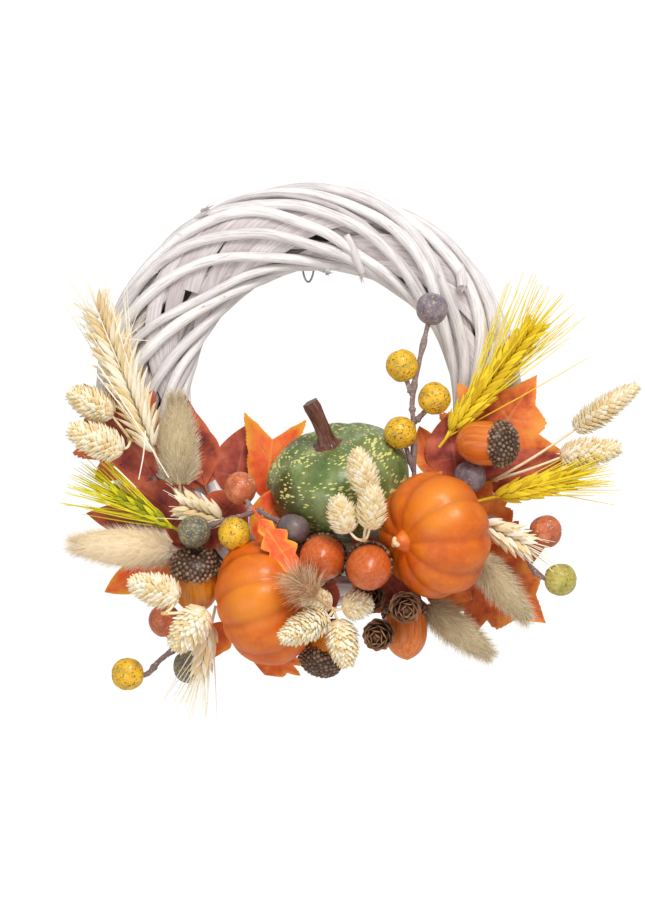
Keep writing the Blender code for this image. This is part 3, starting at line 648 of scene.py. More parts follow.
def pumpkin(node, radius, half_height, axis, ribs, depth, lumps, boxy):
    """A ribbed gourd: a squashed ball with a dimple at each pole and lobes between narrow grooves."""
    bm, grain, tones = blank()
    bmesh.ops.create_uvsphere(bm, u_segments=ribs * 12, v_segments=56, radius=1.0)
    for vert in bm.verts:
        polar = math.acos(max(-1.0, min(1.0, vert.co.z)))
        turn = math.atan2(vert.co.y, vert.co.x)
        sine = math.sin(polar)
        uneven = turn + 0.05 * math.sin(2 * turn + 1.0)
        crest = abs(math.sin(uneven * ribs / 2)) ** 0.75
        minor = abs(math.sin(uneven * ribs)) ** 0.8
        reach = radius * max(sine, 0.0) ** boxy * (1.0 - depth * (1.0 - crest) - 0.004 * (1.0 - minor))
        dip = 0.14 * half_height * math.exp(-((sine / 0.30) ** 2))
        level = math.cos(polar)
        height = half_height * math.copysign(abs(level) ** (0.15 + boxy), level)
        height -= math.copysign(dip, height) if abs(height) > 1e-9 else 0.0
        height *= 1.0 - 0.10 * (1.0 - crest) * sine
        swell = 1.0 + lumps * noise.noise(vert.co * 2.4)
        vert[grain] = (polar * radius, math.cos(turn) * radius, math.sin(turn) * radius)
        vert[tones] = crest * (0.55 + 0.45 * sine)
        vert.co = Vector((reach * math.cos(turn), reach * math.sin(turn), height)) * swell
    return moved(bm, aimed(middle(node), axis))


def fluted(points, radii, flutes, depth, sides):
    """A stalk whose section is fluted, twisting a little as it rises."""
    bm = stem(points, radii, sides)
    grain = bm.verts.layers.float_vector["grain"]
    for vert in bm.verts:
        turn = math.atan2(vert[grain].z, vert[grain].y)
        reach = math.hypot(vert[grain].y, vert[grain].z)
        if reach < 1e-7:
            continue
        nearest = min(points, key=lambda point: (point - vert.co).length)
        wave = math.cos(flutes * turn + vert[grain].x * 120.0)
        vert.co = vert.co + (vert.co - nearest).normalized() * (reach * depth * wave)
    return bm


def green_stalk():
    """The green pumpkin's stalk: a flared foot, a bend, and a cut end, from its packed box."""
    axis = Vector((-0.25, -0.42, 0.87)).normalized()
    foot = middle("green_pumpkin") + axis * (0.029 * 0.86)
    bend = Vector((-0.45, -0.25, 0.86))
    rise = [foot, foot + axis * 3.0 * MM, foot + axis * 10.0 * MM + bend * 2.0 * MM]
    rise += [foot + axis * 15.0 * MM + bend * 9.5 * MM, foot + axis * 14.6 * MM + bend * 15.0 * MM]
    path = curve_through(rise, 9)
    radii = ramped([9.6 * MM, 6.0 * MM, 4.5 * MM, 4.3 * MM, 5.0 * MM, 4.6 * MM], len(path))
    return fluted(path, radii, 5, 0.10, 40)


def orange_stub():
    """The right pumpkin's broken stub: a neck that narrows out of the skin, and its pale scar."""
    way = Vector((-0.78, -0.60, -0.14)).normalized()
    foot = middle("orange_pumpkin_right") + way * (0.0285 * 0.84)
    path = [foot + way * ((0.85 * i - 2.0) * MM) for i in range(11)]
    radii = ramped([12.0 * MM, 8.4 * MM, 6.4 * MM, 5.2 * MM, 4.2 * MM, 2.6 * MM], 11)
    neck = fluted(path, radii, 5, 0.05, 30)
    path = [path[-1] + way * ((0.5 * i - 1.2) * MM) for i in range(7)]
    return neck, fluted(path, ramped([2.6 * MM, 3.0 * MM, 2.6 * MM, 1.4 * MM], 7), 3, 0.30, 24)


# Each acorn: the middle of its seam, the way its nut points, size, shade.
ACORNS = (
    (at(-67.5, -67.5, -103.5), (0.02, 0.55, -0.83), 1.05, "amber"),
    (at(114.0, -73.0, -29.5), (-0.86, 0.48, 0.05), 0.98, "orange"),
    (at(9.0, -86.0, -97.0), (-0.03, -0.97, 0.02), 1.0, "rust"),
    (at(36.0, -101.0, -101.0), (0.0, -0.98, -0.12), 0.98, "rust"),
    (at(58.0, -62.0, -131.5), (0.04, -0.30, -0.95), 0.95, "orange"),
    (at(7.5, -65.0, -157.5), (0.42, 0.35, 0.84), 0.92, "amber"),
)


def acorn_nut(seam, way, size):
    """A plump nut with a small point at its tip."""
    profile = ((0.0, 0.0), (8.0, 0.1), (12.3, 0.6), (13.4, 6.0), (13.5, 12.5), (12.2, 18.5), (9.0, 24.0))
    profile += ((5.2, 27.2), (2.6, 28.6), (1.2, 29.2), (0.0, 29.8))
    return moved(turned(profile, 40, wide=size * MM, tall=size * MM), aimed(seam, way))


def acorn_cap(seam, way, size, bead):
    """A cup of round beads in a spiral over a dark dome."""
    bm = gathered()
    dome = ((0.0, -0.6), (12.0, -0.5), (14.0, -1.4), (13.4, -4.4), (9.6, -8.4), (4.8, -10.4), (0.0, -11.0))
    join(bm, turned(dome, 30, 2, 0.0))
    count = 140
    places = []
    for k in range(count):
        spread = 0.02 + 1.12 * (k + 0.5) / count
        polar = math.acos(1.0 - spread)
        turn = k * GOLDEN_TURN
        out = Vector((math.sin(polar) * math.cos(turn), math.sin(polar) * math.sin(turn), -math.cos(polar)))
        spot = Vector((out.x * 13.9, out.y * 13.9, out.z * 10.2 - 0.9)) * MM
        grow = between(1.2, 1.55) * (0.82 + 0.18 * min(spread, 1.0)) * MM
        places.append((Matrix.Translation(spot) @ Matrix.Scale(grow, 4), between(0.2, 0.9)))
    scatter(bm, bead, places)
    return moved(bm, aimed(seam, way) @ Matrix.Scale(size, 4))


def ball(across, down):
    """A small round template, radius one."""
    bm = gathered()
    bmesh.ops.create_uvsphere(bm, u_segments=across, v_segments=down, radius=1.0)
    return as_mesh(bm)


def husk(across, down, length, width, thick, keel, curl):
    """A pointed, boat-shaped husk template that grows along +Z from the origin and faces +X."""
    bm, grain, tones = blank()
    bmesh.ops.create_uvsphere(bm, u_segments=across, v_segments=down, radius=1.0)
    for vert in bm.verts:
        t = (vert.co.z + 1.0) / 2.0
        swell = math.sin(math.pi * t**0.75) ** 0.8 if 0.0 < t < 1.0 else 0.0
        ring = math.hypot(vert.co.x, vert.co.y)
        cos, sin = (vert.co.x / ring, vert.co.y / ring) if ring > 1e-6 else (0.0, 0.0)
        ridge = keel * max(0.0, cos) ** 3
        vert[grain] = (t * length, cos * width, sin * width)
        vert[tones] = 0.5
        bulge = (cos * thick + ridge * width) * swell
        vert.co = Vector((bulge + curl * t * t, sin * width * swell, t * length))
    return as_mesh(bm)


def cone(node, way, scale_shape):
    """A larch cone: curved scales in a spiral over a slim core."""
    bm = gathered()
    core = ((0.0, -10.5), (4.0, -9.0), (6.4, -3.0), (5.6, 4.0), (2.4, 9.0), (0.0, 10.4))
    join(bm, turned(core, 16, 3, 0.0))
    count = 40
    places = []
    for k in range(count):
        t = (k + 0.5) / count
        girth = math.sin(math.pi * (0.14 + 0.80 * t)) ** 0.7
        lean = math.radians(74.0 - 58.0 * t)
        turn = Matrix.Rotation(k * GOLDEN_TURN, 4, "Z")
        lift = Matrix.Translation((3.4 * MM * girth, 0.0, (-9.6 + 17.0 * t) * MM))
        places.append((turn @ lift @ tilted(lean, 0.66 + 0.46 * girth), between(0.2, 0.8)))
    scatter(bm, scale_shape, places)
    return moved(bm, aimed(middle(node), way))


# Picks

PICKS = {
    "upper": (
        (
            ((63.6, -58, -50), (63, -60, -15), (62.4, -60, -3), (66, -60, 18), (73, -59, 46)),
            ((62.2, -60.2, 0), (60, -61, 6), (57, -61, 14)),
            ((63.2, -60, -17), (69, -61, -11), (74, -62, -5)),
            ((63.3, -58.4, -45), (59, -62, -33), (56, -65, -26)),
        ),
        (
            ((74.4, -59, 51.6), (67.0, -60.0, 24.0), "grey"),
            ((56.4, -61, 17.4), (60, -61, 6), "yellow"),
            ((75.6, -62, -2.1), (69, -61, -11), "yellow"),
            ((55.2, -66, -22.8), (59, -62, -33), "yellow"),
        ),
    ),
    "left": (
        (
            (
                (-62, -76, -79), (-50, -77, -75), (-39.6, -78, -72.6), (-30, -80, -69),
                (-24, -83, -72), (-12, -86, -78),
            ),
            ((-33, -80, -70), (-36, -76, -64), (-39, -73, -59)),
            ((-46, -77.4, -74.2), (-45, -79, -78), (-44.2, -80, -81)),
        ),
        (
            ((-9, -87, -80.4), (-24, -83, -72), "dark"),
            ((-40.2, -71, -55.8), (-36, -76, -64), "rust"),
            ((-43.8, -81, -82.7), (-45, -79, -78), "yellow"),
            ((-67.6, -78, -81.4), (-50, -77, -75), "green"),
        ),
    ),
    "right": (
        (
            (
                (97, -56, -58), (104.4, -54, -72.6), (113.4, -53, -74.4), (124.8, -54, -82.2), (140, -55, -82),
            ),
            ((126, -54, -82.3), (133.8, -55, -102.6), (140.4, -56, -109.2), (149, -57, -110.5)),
        ),
        (
            ((97.2, -57, -49.2), (104.4, -54, -72.6), "grey"),
            ((142.5, -55, -81.9), (124.8, -54, -82.2), "rust"),
            ((151.2, -57, -110.7), (140.4, -56, -109.2), "pale"),
        ),
    ),
    "lower_left": (
        (
            ((-76, -52, -150), (-88.8, -54, -159), (-96.6, -55, -167.4), (-106, -56, -167.6)),
            ((-77, -52.2, -150.8), (-84, -52, -144), (-86, -52, -138)),
            ((-77, -52.2, -150.8), (-73, -51, -159), (-71.5, -50, -162)),
        ),
        (
            ((-108, -56, -167.4), (-96.6, -55, -167.4), "yellow"),
            ((-86.1, -52, -135.6), (-84, -52, -144), "rust"),
            ((-71.4, -50, -163.2), (-73, -51, -159), "green"),
        ),
    ),
}


def pick_twigs(stems, crumb):
    """Twigs with swollen nodes and a frosting of crumbs."""
    bm = gathered()
    for points in stems:
        path = curve_through([at(*point) for point in points], 10)
        path = [point + bent(point, 0.012) * 0.5 * MM for point in path]
        radii = []
        for i in range(len(path)):
            node_swell = 0.45 * math.exp(-((i % 10 - 4.5) ** 2) / 1.6)
            radii.append(1.55 * MM * (1.0 + node_swell + 0.2 * noise.noise(path[i] * 500.0)))
        join(bm, stem(path, radii, 12, between(0.2, 0.5)))
        crumbs = []
        for _ in range(len(path) * 2):
            k = chance.randrange(len(path) - 1)
            out = Vector((between(-1, 1), between(-1, 1), between(-1, 1))).normalized()
            spot = path[k].lerp(path[k + 1], chance.random()) + out * radii[k]
            crumbs.append((Matrix.Translation(spot) @ Matrix.Scale(between(0.16, 0.42) * MM, 4), 1.0))
        scatter(bm, crumb, crumbs)
    return bm


def berry(centre, root):
    """A waxy berry, a little egg-shaped, with a puckered crater opposite its twig."""
    profile = ((0.0, -9.1), (4.6, -8.2), (8.0, -4.6), (9.2, 0.0), (8.5, 4.2), (6.0, 7.4), (3.6, 8.7))
    profile += ((2.2, 9.0), (1.2, 8.2), (0.0, 7.7))
    bm = turned(profile, 28, 3)
    for vert in bm.verts:
        vert.co = vert.co * (1.05 + 0.05 * noise.noise(vert.co * 160.0 + centre * 900.0))
    return moved(bm, aimed(at(*centre), at(*centre) - at(*root)))


# Grasses


def spindle(start, end, radius, sides=14, tone=0.2):
    """The core of a seed head, from its foot to its tip."""
    length = (end - start).length
    profile = ((0.0, 0.0), (0.55, 0.08), (0.9, 0.3), (1.0, 0.5), (0.8, 0.75), (0.45, 0.92), (0.0, 1.0))
    bm = turned(profile, sides, 3, tone, radius, length)
    return moved(bm, aimed(start, end - start))


def girth_at(t):
    """How full a seed head is, from its foot at 0 to its tip at 1."""
    return math.sin(math.pi * min(1.0, max(0.0, t)) ** 0.8) ** 0.6


def seed_head(bm, start, end, radius, shape, count, lean, size=1.0):
    """Husks in a spiral over a core, closing towards the tip."""
    way = end - start
    length = way.length
    join(bm, spindle(start, end, radius * 0.58, tone=0.45))
    stand = aimed(start, way, chance.random() * math.tau)
    places = []
    for k in range(count):
        t = (k + 0.5) / count
        girth = girth_at(t * 0.96 + 0.02)
        tilt = math.radians(lean * (1.0 - t * 0.75) + between(-6.0, 6.0))
        turn = Matrix.Rotation(k * GOLDEN_TURN + between(-0.12, 0.12), 4, "Z")
        foot = Matrix.Translation((radius * 0.48 * girth, 0.0, length * t * 0.92))
        grow = size * (0.80 + 0.20 * girth) * between(0.9, 1.1)
        places.append((stand @ turn @ foot @ tilted(tilt, grow), between(0.35, 1.0)))
    scatter(bm, shape, places)


CANARY = {
    "left": (
        (((-116, -62, -12), (-145, -64, 3), 11.0), ((-110, -74, -34), (-145, -74, -19), 11.5)),
        (-106, -63, -27),
    ),
    "lower_left": (
        (((-76, -87, -120), (-108, -78, -111), 11.2), ((-61, -89, -127), (-81, -82, -153), 11.8)),
        (-85, -88, -130),
    ),
    "centre": (
        (
            ((36, -113, -60), (28, -110, -30), 10.0),
            ((37, -118, -80), (38, -119, -51), 10.0),
            ((24, -114, -82), (16, -114, -58), 10.0),
        ),
        (33, -112, -86),
    ),
    "bottom": (
        (
            ((14, -102, -124), (-5, -110, -120), 8.5),
            ((12, -106, -131), (-18, -120, -145), 10.5),
            ((20, -99, -126), (40, -97, -123.5), 9.6),
            ((18, -96, -133), (24, -94, -164), 10.5),
        ),
        (15, -97, -127),
    ),
    "far_right": (
        (((160, -52, -21), (202, -54, 8.4), 9.0), ((151, -56, -37), (191, -58, -31), 10.0)),
        (112, -50, -51),
    ),
}


def canary_bunch(heads, knot, shape):
    """Heads of canary grass, their stalks gathered and bound at the knot."""
    bm = gathered()
    for start, end, radius in heads:
        start, end = at(*start), at(*end)
        way = (end - start).normalized()
        top = end - way * 4.5 * MM
        seed_head(bm, start, top, radius * MM, shape, 230, 52.0, radius / 10.0)
        knee = (at(*knot) + start) / 2 + Vector((0.0, -1.0, -1.0)) * MM
        path = curve_through([at(*knot), knee, start + way * 3.0 * MM], 8)
        join(bm, stem(path, [0.95 * MM, 0.7 * MM], 8, 0.6))
    for k in range(3):
        spot = at(*knot) + Vector((0.0, 0.0, (k - 1) * 0.7 * MM))
        hoop = [spot + Vector((math.cos(a), math.sin(a), 0.0)) * 2.0 * MM for a in ramped([0.0, 5.9], 20)]
        join(bm, stem(hoop, [0.35 * MM] * 20, 6, 0.2, closed=True))
    return bm


# Each ear: foot, tip, radius, its long awns, shade, how far its grains splay, and its beard. A beard is how
# many fine awns, how long they are at least, how far past the tip they reach, and how wide they fan.
WHEAT = {
    "left_cream": (
        (-92, -63, -34), (-129, -62, 58), 9.5,
        (
            (-109.8, -64, 53.5), (-131.4, -62, 28), (-106, -65, 51), (-101, -66, 51), (-95, -67, 46),
            (-91, -68, 32),
        ),
        "cream", 0.62, (26, 8.0, 22.0, 0.40),
    ),
    "left_green": (
        (-83, -62, -78), (-116, -63, -59.0), 7.0, ((-140, -63, -44), (-146, -62, -66)),
        "green", 0.36, (58, 16.0, 30.0, 0.40),
    ),
    "left_short": ((-49, -63, -75), (-77, -66, -65), 9.2, (), "cream", 0.62, (7, 8.0, 14.0, 0.5)),
    "right_yellow_up": (
        (86, -58, -22), (138.6, -57, 44.4), 9.5, ((107, -56, 48), (144, -55, 66), (154, -55, 51)),
        "yellow", 0.50, (56, 14.0, 24.0, 0.42),
    ),
    "right_yellow_low": (
        (112, -62, -61), (157.8, -62, -49.2), 9.2, ((188, -62, -57), (184, -62, -66)),
        "yellow", 0.42, (56, 14.0, 26.0, 0.34),
    ),
    "right_cream": (
        (105, -64, -77), (132, -65, -90.6), 8.8, ((148, -66, -88),), "cream", 0.62, (12, 12.0, 24.0, 0.3),
    ),
    "bottom_cream": (
        (-58, -58, -138), (-64, -60, -164), 8.4, ((-86, -62, -182), (-69.6, -62, -193)),
        "cream", 0.4, (26, 16.0, 34.0, 0.40),
    ),
}


def wheat_ear(start, end, radius, awns, shape, splay, beard):
    """Two ranks of spikelets, each a fan of four grains in their husks, and thin awns."""
    bm = gathered()
    foot, tip = at(*start), at(*end)
    way = (tip - foot).normalized()
    length = (tip - foot).length
    across = way.cross(Vector((0.0, -1.0, 0.0))).normalized()
    front = across.cross(way)
    ranks = max(5, round(length / (6.2 * MM)))
    places = []
    for k in range(ranks):
        t = (k + 0.3) / ranks
        root = foot + way * (length * t * 0.93)
        girth = 0.80 + 0.30 * girth_at(t)
        for hand in (-1.0, 1.0):
            step = way * (hand * 0.25 * length / ranks)
            for fan, depth in ((0.0, 0.0), (-0.8, 0.42), (0.8, -0.42), (0.3, 0.9)):
                out = (across * hand * (0.50 + 0.12 * abs(fan)) + front * depth).normalized()
                aim = (way + out * splay * between(0.8, 1.2)).normalized()
                spot = root + step + out * (radius * 0.16 * MM)
                grow = Matrix.Scale(girth * radius / 8.4 * between(0.84, 1.06), 4)
                places.append((Matrix.Translation(spot) @ out_frame(aim, out) @ grow, between(0.3, 0.95)))
    scatter(bm, shape, places)
    middle_line = [foot - way * 12.0 * MM, foot, tip - way * 3.0 * MM]
    join(bm, stem(middle_line, [0.9 * MM, 0.9 * MM, 0.5 * MM], 8, 0.6))
    for index, awn in enumerate(awns):
        root = foot + way * length * (0.34 + 0.08 * index)
        swing = root.lerp(at(*awn), 0.5) + front * 1.5 * MM
        path = curve_through([root, swing, at(*awn)], 8)
        join(bm, stem(path, [0.55 * MM, 0.35 * MM, 0.12 * MM], 6, 0.7))
    count, shortest, beyond, spread = beard
    for k in range(count):
        root = foot + way * (length * between(-0.12, 0.98))
        lean = across * between(-spread, spread) + front * between(-0.12, 0.24)
        reach = (length + beyond * MM) * between(0.78, 1.0) - (root - foot).length
        reach = max(shortest * MM, reach)
        end_point = root + (way + lean).normalized() * reach
        knee = root.lerp(end_point, 0.5) + lean * 1.4 * MM
        join(bm, stem([root, knee, end_point], [0.48 * MM, 0.40 * MM, 0.16 * MM], 5, between(0.8, 1.0)))
    return bm


def out_frame(aim, out):
    """A turn that carries +Z along the aim and +X towards out."""
    side = (out - aim * out.dot(aim)).normalized()
    return Matrix((side, aim.cross(side), aim)).transposed().to_4x4()


def hair(length, radius, curl):
    """A tapered hair template, along +Z with a slight curl towards +X."""
    bm, grain, _ = blank()
    made = bmesh.ops.create_cone(
        bm, cap_ends=True, segments=3, radius1=radius, radius2=radius * 0.25, depth=length
    )
    bmesh.ops.translate(bm, verts=made["verts"], vec=(0.0, 0.0, length / 2))
    long_edges = [e for e in bm.edges if abs(e.verts[0].co.z - e.verts[1].co.z) > length / 2]
    bmesh.ops.subdivide_edges(bm, edges=long_edges, cuts=2)
    for vert in bm.verts:
        t = vert.co.z / length
        vert[grain] = (vert.co.z, vert.co.x, vert.co.y)
        vert.co.x += curl * length * t * t
    bmesh.ops.recalc_face_normals(bm, faces=bm.faces)
    return as_mesh(bm)


def tuft(start, end, radius, hair_shape, count, lean):
    """A bunny tail: a soft core under many fine hairs that sweep towards the tip."""
    bm = gathered()
    start, end = at(*start), at(*end)
    way = end - start
    length = way.length
    unit = way.normalized()
    join(bm, spindle(start, end - unit * radius * 0.35 * MM, radius * 0.74 * MM, 20, 0.35))
    join(bm, stem([start - unit * 12.0 * MM, start + unit * 4.0 * MM], [0.9 * MM, 0.8 * MM], 8, 0.4))
    stand = aimed(start, way)
    places = []
    for k in range(count):
        t = (k + 0.5) / count
        girth = girth_at(0.10 + 0.88 * t)
        turn = Matrix.Rotation(k * GOLDEN_TURN + between(-0.5, 0.5), 4, "Z")
        foot = Matrix.Translation((radius * 0.55 * girth * MM, 0.0, (length - radius * 0.5 * MM) * t))
        tilt = math.radians(lean * (1.0 - 0.85 * t) + between(-16.0, 16.0))
        twist = Matrix.Rotation(between(-0.5, 0.5), 4, "X")
        stand_up = stand @ turn @ foot @ Matrix.Rotation(tilt, 4, "Y") @ twist
        places.append((stand_up @ Matrix.Scale(between(0.65, 1.1), 4), between(0.2, 1.0)))
    scatter(bm, hair_shape, places)
    return bm


# Leaves

# Half outlines, (along, across) as shares of the length and the width, after how far the veins fan from the
# foot (1 is evenly up the midrib) and how deep the teeth are.
OUTLINES = {
    "maple": (2.6, 0.16, (
        (0.00, 0.02), (0.10, 0.20), (-0.03, 0.43), (0.16, 0.34), (0.28, 0.60), (0.40, 0.40), (0.60, 0.62),
        (0.61, 0.33), (0.73, 0.34), (0.80, 0.15), (1.02, 0.0),
    )),
    "pointed": (1.5, 0.03, ((0.00, 0.02), (0.16, 0.24), (0.38, 0.40), (0.55, 0.30), (0.80, 0.12), (1.02, 0.0))),
    "oak": (1.2, 0.12, (
        (0.00, 0.02), (0.12, 0.20), (0.24, 0.15), (0.36, 0.36), (0.48, 0.24), (0.62, 0.38), (0.72, 0.22),
        (0.86, 0.20), (1.02, 0.0),
    )),
    "oval": (1.1, 0.01, ((0.00, 0.02), (0.13, 0.23), (0.36, 0.37), (0.62, 0.35), (0.84, 0.20), (1.02, 0.0))),
    "forked": (1.2, 0.14, (
        (0.00, 0.02), (0.12, 0.16), (0.33, 0.25), (0.55, 0.27), (0.80, 0.32), (1.02, 0.37), (0.90, 0.20),
        (0.73, 0.0),
    )),
}
# Each leaf: name, foot, tip, width, outline, shade, curl.
LEAVES = (
    ("burgundy_left", (-92, -51, -48), (-134, -51, 6), 50, "maple", "burgundy", 0.0),
    ("orange_left", (-88, -40, -101), (-122, -40, -118), 24, "oval", "red", 0.1),
    ("dark_red", (-62, -47, -54), (-74, -48, 0), 34, "pointed", "dark_red", 0.0),
    ("burgundy_round", (-47, -15, -66), (-37, -15, -18), 42, "oval", "burgundy", 0.05),
    ("orange_red", (-26, -20, -63), (-20, -22, -13), 50, "forked", "red", 0.05),
    ("red_yellow", (-28, -96, -74), (-6, -101, -106), 26, "oak", "red", 0.0),
    ("maple_right", (98, -45, -48), (137, -46, 11), 60, "maple", "rust", 0.0),
    ("orange_small", (78, -50, -50), (67, -50, -19), 24, "oval", "rust", 0.0),
    ("lower_right", (88, -45, -92), (142, -45, -136), 62, "maple", "rust", 0.0),
    ("bottom", (-14, -38, -146), (-26, -38, -168), 50, "oak", "rust", 0.0),
)


def leaf(start, tip, width, kind, curl=0.0):
    """A cloth leaf: a sheet fanned from its midrib to its outline, veined to the point of each lobe."""
    fan, tooth, outline = OUTLINES[kind]
    foot, along = at(*start), at(*tip) - at(*start)
    length, width = along.length, width * MM
    ahead = along.normalized()
    across = ahead.cross(Vector((0.0, -1.0, 0.0))).normalized()
    face = across.cross(ahead)
    face = -face if face.y > 0 else face
    spots = [Vector((u, v, 0.0)) for u, v in outline]
    lengths = path_lengths(spots)
    columns, rows = 96, 28
    seed = chance.random() * 20.0
    tips = [
        lengths[i] / lengths[-1]
        for i in range(1, len(outline) - 1)
        if outline[i][1] > outline[i - 1][1] and outline[i][1] >= outline[i + 1][1]
    ]
    bm = gathered()
    veins = bm.verts.layers.float.new("vein")
    tones = bm.verts.layers.float["tone"]
    bmesh.ops.create_grid(bm, x_segments=columns, y_segments=rows, size=0.5)
    for vert in bm.verts:
        s, v = vert.co.x + 0.5, vert.co.y * 2.0
        travelled = s * lengths[-1]
        k = max(i for i, reach in enumerate(lengths) if reach <= travelled + 1e-9)
        k = min(k, len(spots) - 2)
        share = (travelled - lengths[k]) / (lengths[k + 1] - lengths[k])
        edge = spots[k].lerp(spots[k + 1], share)
        belly = 4.0 * share * (1.0 - share)
        edge.y *= 1.0 + 0.06 * belly + tooth * (abs((travelled * 22.0) % 1.0 - 0.5) - 0.25)
        rib_place = outline[-1][0] * s**fan
        out = abs(v)
        u = rib_place + (edge.x - rib_place) * out**1.15
        w = edge.y * v
        side_vein = max((math.exp(-(((s - place) / 0.007) ** 2)) for place in tips), default=0.0)
        midrib = math.exp(-((w * width / (0.45 * MM)) ** 2))
        vein = max(midrib, side_vein * (0.9 - 0.6 * out))
        wave = noise.noise(Vector((u * 2.4, w * 2.4, seed)))
        ripple = noise.noise(Vector((u * 7.0, w * 7.0, seed + 3.0)))
        lift = curl * (abs(w) * width / length) ** 2 * length * 2.0 + curl * length * 0.3 * u * u
        lift += (wave * 2.4 + ripple * 0.9 * out) * MM * min(1.0, width / 0.045) - vein * 0.35 * MM
        vert[tones] = out
        vert[veins] = vein
        vert.co = foot + ahead * (u * length) + across * (w * width) + face * lift
    bmesh.ops.solidify(bm, geom=list(bm.faces), thickness=0.4 * MM)
    return weld(bm)


def leaf_stalk(start, tip):
    """The short wired stalk behind the foot of a leaf."""
    foot, way = at(*start), (at(*tip) - at(*start)).normalized()
    back = Vector((0.0, 3.0, 0.0)) * MM
    points = [foot - way * 9.0 * MM + back, foot - way * 3.0 * MM + back * 0.4, foot + way * 6.0 * MM]
    return stem(curve_through(points, 4), [0.8 * MM, 0.6 * MM], 8, 0.5)


# The finished pieces

WHITEWASH = willow(
    "whitewashed_willow_brushed", ("#cfc8c8", "#ebe7e7", "#fcfafa"), ("#8a7566", "#b79f8c", "#dccbbd"), 0.33
)
SPLIT = willow(
    "split_willow_brushed", ("#c9bfc0", "#e2dadb", "#f4efef"), ("#8f7a69", "#bfa894", "#e0d0c2"), 0.35
)
UNDER = willow(
    "inner_willow_brushed", ("#c9bdb6", "#e2dad5", "#f2ede9"), ("#6d594a", "#98806b", "#c2ad9b"), 0.40
)
STEEL = wire()

RODS = [f"willow_rod_{index}" for index in (1, 2, 3, 4)]
STRIPS = [f"willow_strip_{index}" for index in (1, 2, 3)]
TWIST_TOP = TIE - Vector((0.0, -2.0, TIE_RADIUS / MM - 0.6)) * MM
piece("willow_rods", willow_rods(), WHITEWASH, RODS)
piece("willow_strips", willow_strips(), SPLIT, STRIPS)
piece("inner_rods", under_rods(), UNDER)
piece("splinters", splinters(), SPLIT)
piece("tie_wire", wire_oval(TIE, TIE_RADIUS, TIE_RADIUS, False), STEEL, ["wire_tie"])
piece("tie_twist", tie_twist(TWIST_TOP), STEEL)
loop = wire_oval(middle("hanging_loop"), LOOP_WIDTH / 2, LOOP_LENGTH / 2, True)
piece("loop_wire", loop, STEEL, ["hanging_loop"], "hanger")

# The green gourd's patch is brown skin, low on its left.
GREEN_RIND = rind(
    "green_gourd_rind", ("#4c6434", "#71844b", "#a0ab7c"), "#e2dc84", (0.06, 0.44), "#7a7444",
    "#4a2c16", middle("green_pumpkin") + Vector((-32.0, -16.0, -16.0)) * MM, 24.0 * MM, 0.26,
)
# On the orange gourds the patch is a painted sheen: a paler yellow-orange band on one side of each gourd and of
# the right gourd's neck.
ORANGE_RINDS = {
    side: rind(
        f"orange_gourd_rind_{side}", ("#c4500a", "#da680c", "#e87e12"), "#ee9a30", (0.0, 0.06), "#a63c08",
        "#ec8e1c", middle(f"orange_pumpkin_{side}") + Vector(spot) * MM, 21.0 * MM, 0.40,
    )
    for side, spot in (("right", (2.0, -28.0, 20.0)), ("left", (-8.0, -34.0, 4.0)))
}
STALK = stalk("brown_stalk_varnished", ("#4a2a20", "#6a3f31", "#8d6252"), 0.22)
SCAR = stalk("stalk_scar_dried", ("#c9a06a", "#ecd7b0", "#fbf1dc"), 0.6)
green = pumpkin("green_pumpkin", 0.0435, 0.029, (-0.25, -0.42, 0.87), 8, 0.03, 0.03, 0.70)
piece("green_gourd", green, GREEN_RIND, ["green_pumpkin"])
piece("green_gourd_stalk", green_stalk(), STALK, ["green_pumpkin_stem"])
ORANGES = (("right", (-0.78, -0.60, -0.14), 0.07), ("left", (0.93, -0.25, 0.28), 0.06))
for side, axis, groove_depth in ORANGES:
    node = f"orange_pumpkin_{side}"
    orange = pumpkin(node, 0.038, 0.0285, axis, 9, groove_depth, 0.02, 0.85)
    piece(f"orange_gourd_{side}", orange, ORANGE_RINDS[side], [node])
neck, scar = orange_stub()
piece("orange_gourd_neck", neck, ORANGE_RINDS["right"], ["orange_stub_right"])
piece("orange_gourd_scar", scar, SCAR)

NUTS = {
    shade: painted_nut(f"acorn_lacquered_{shade}", colours)
    for shade, colours in (
        ("rust", ("#b54a18", "#cb5d22", "#d97236")),
        ("amber", ("#bd6c10", "#d8861a", "#e89c34")),
        ("orange", ("#c05c16", "#dd7426", "#ea8c40")),
    )
}
CAP = dry_scale("acorn_cup_beaded", ("#2c1b12", "#6d4e3b", "#a98a6f"), 1.2, 0.42, 0.2)
BEAD = ball(8, 5)
for index, (seam, way, size, shade) in enumerate(ACORNS, 1):
    piece(f"nut_{index}", acorn_nut(seam, way, size), NUTS[shade], [f"acorn_nut_{index}"])
    cap = acorn_cap(seam, way, size, BEAD)
    piece(f"beaded_cap_{index}", cap, CAP, [f"acorn_cap_{index}"])

CONE = dry_scale("larch_cone_dried", ("#2a1810", "#6e4834", "#bd8f6c"), 1.5, rim=7.8 * MM)
SCALE = husk(10, 8, 8.4 * MM, 4.6 * MM, 0.55 * MM, 0.0, -1.8 * MM)
for index, way in enumerate(((0.1, -0.95, -0.2), (-0.2, -0.95, -0.2), (-0.2, -0.95, 0.2)), 1):
    node = f"larch_cone_{index}"
    piece(f"cone_{index}", cone(node, way, SCALE), CONE, [node])

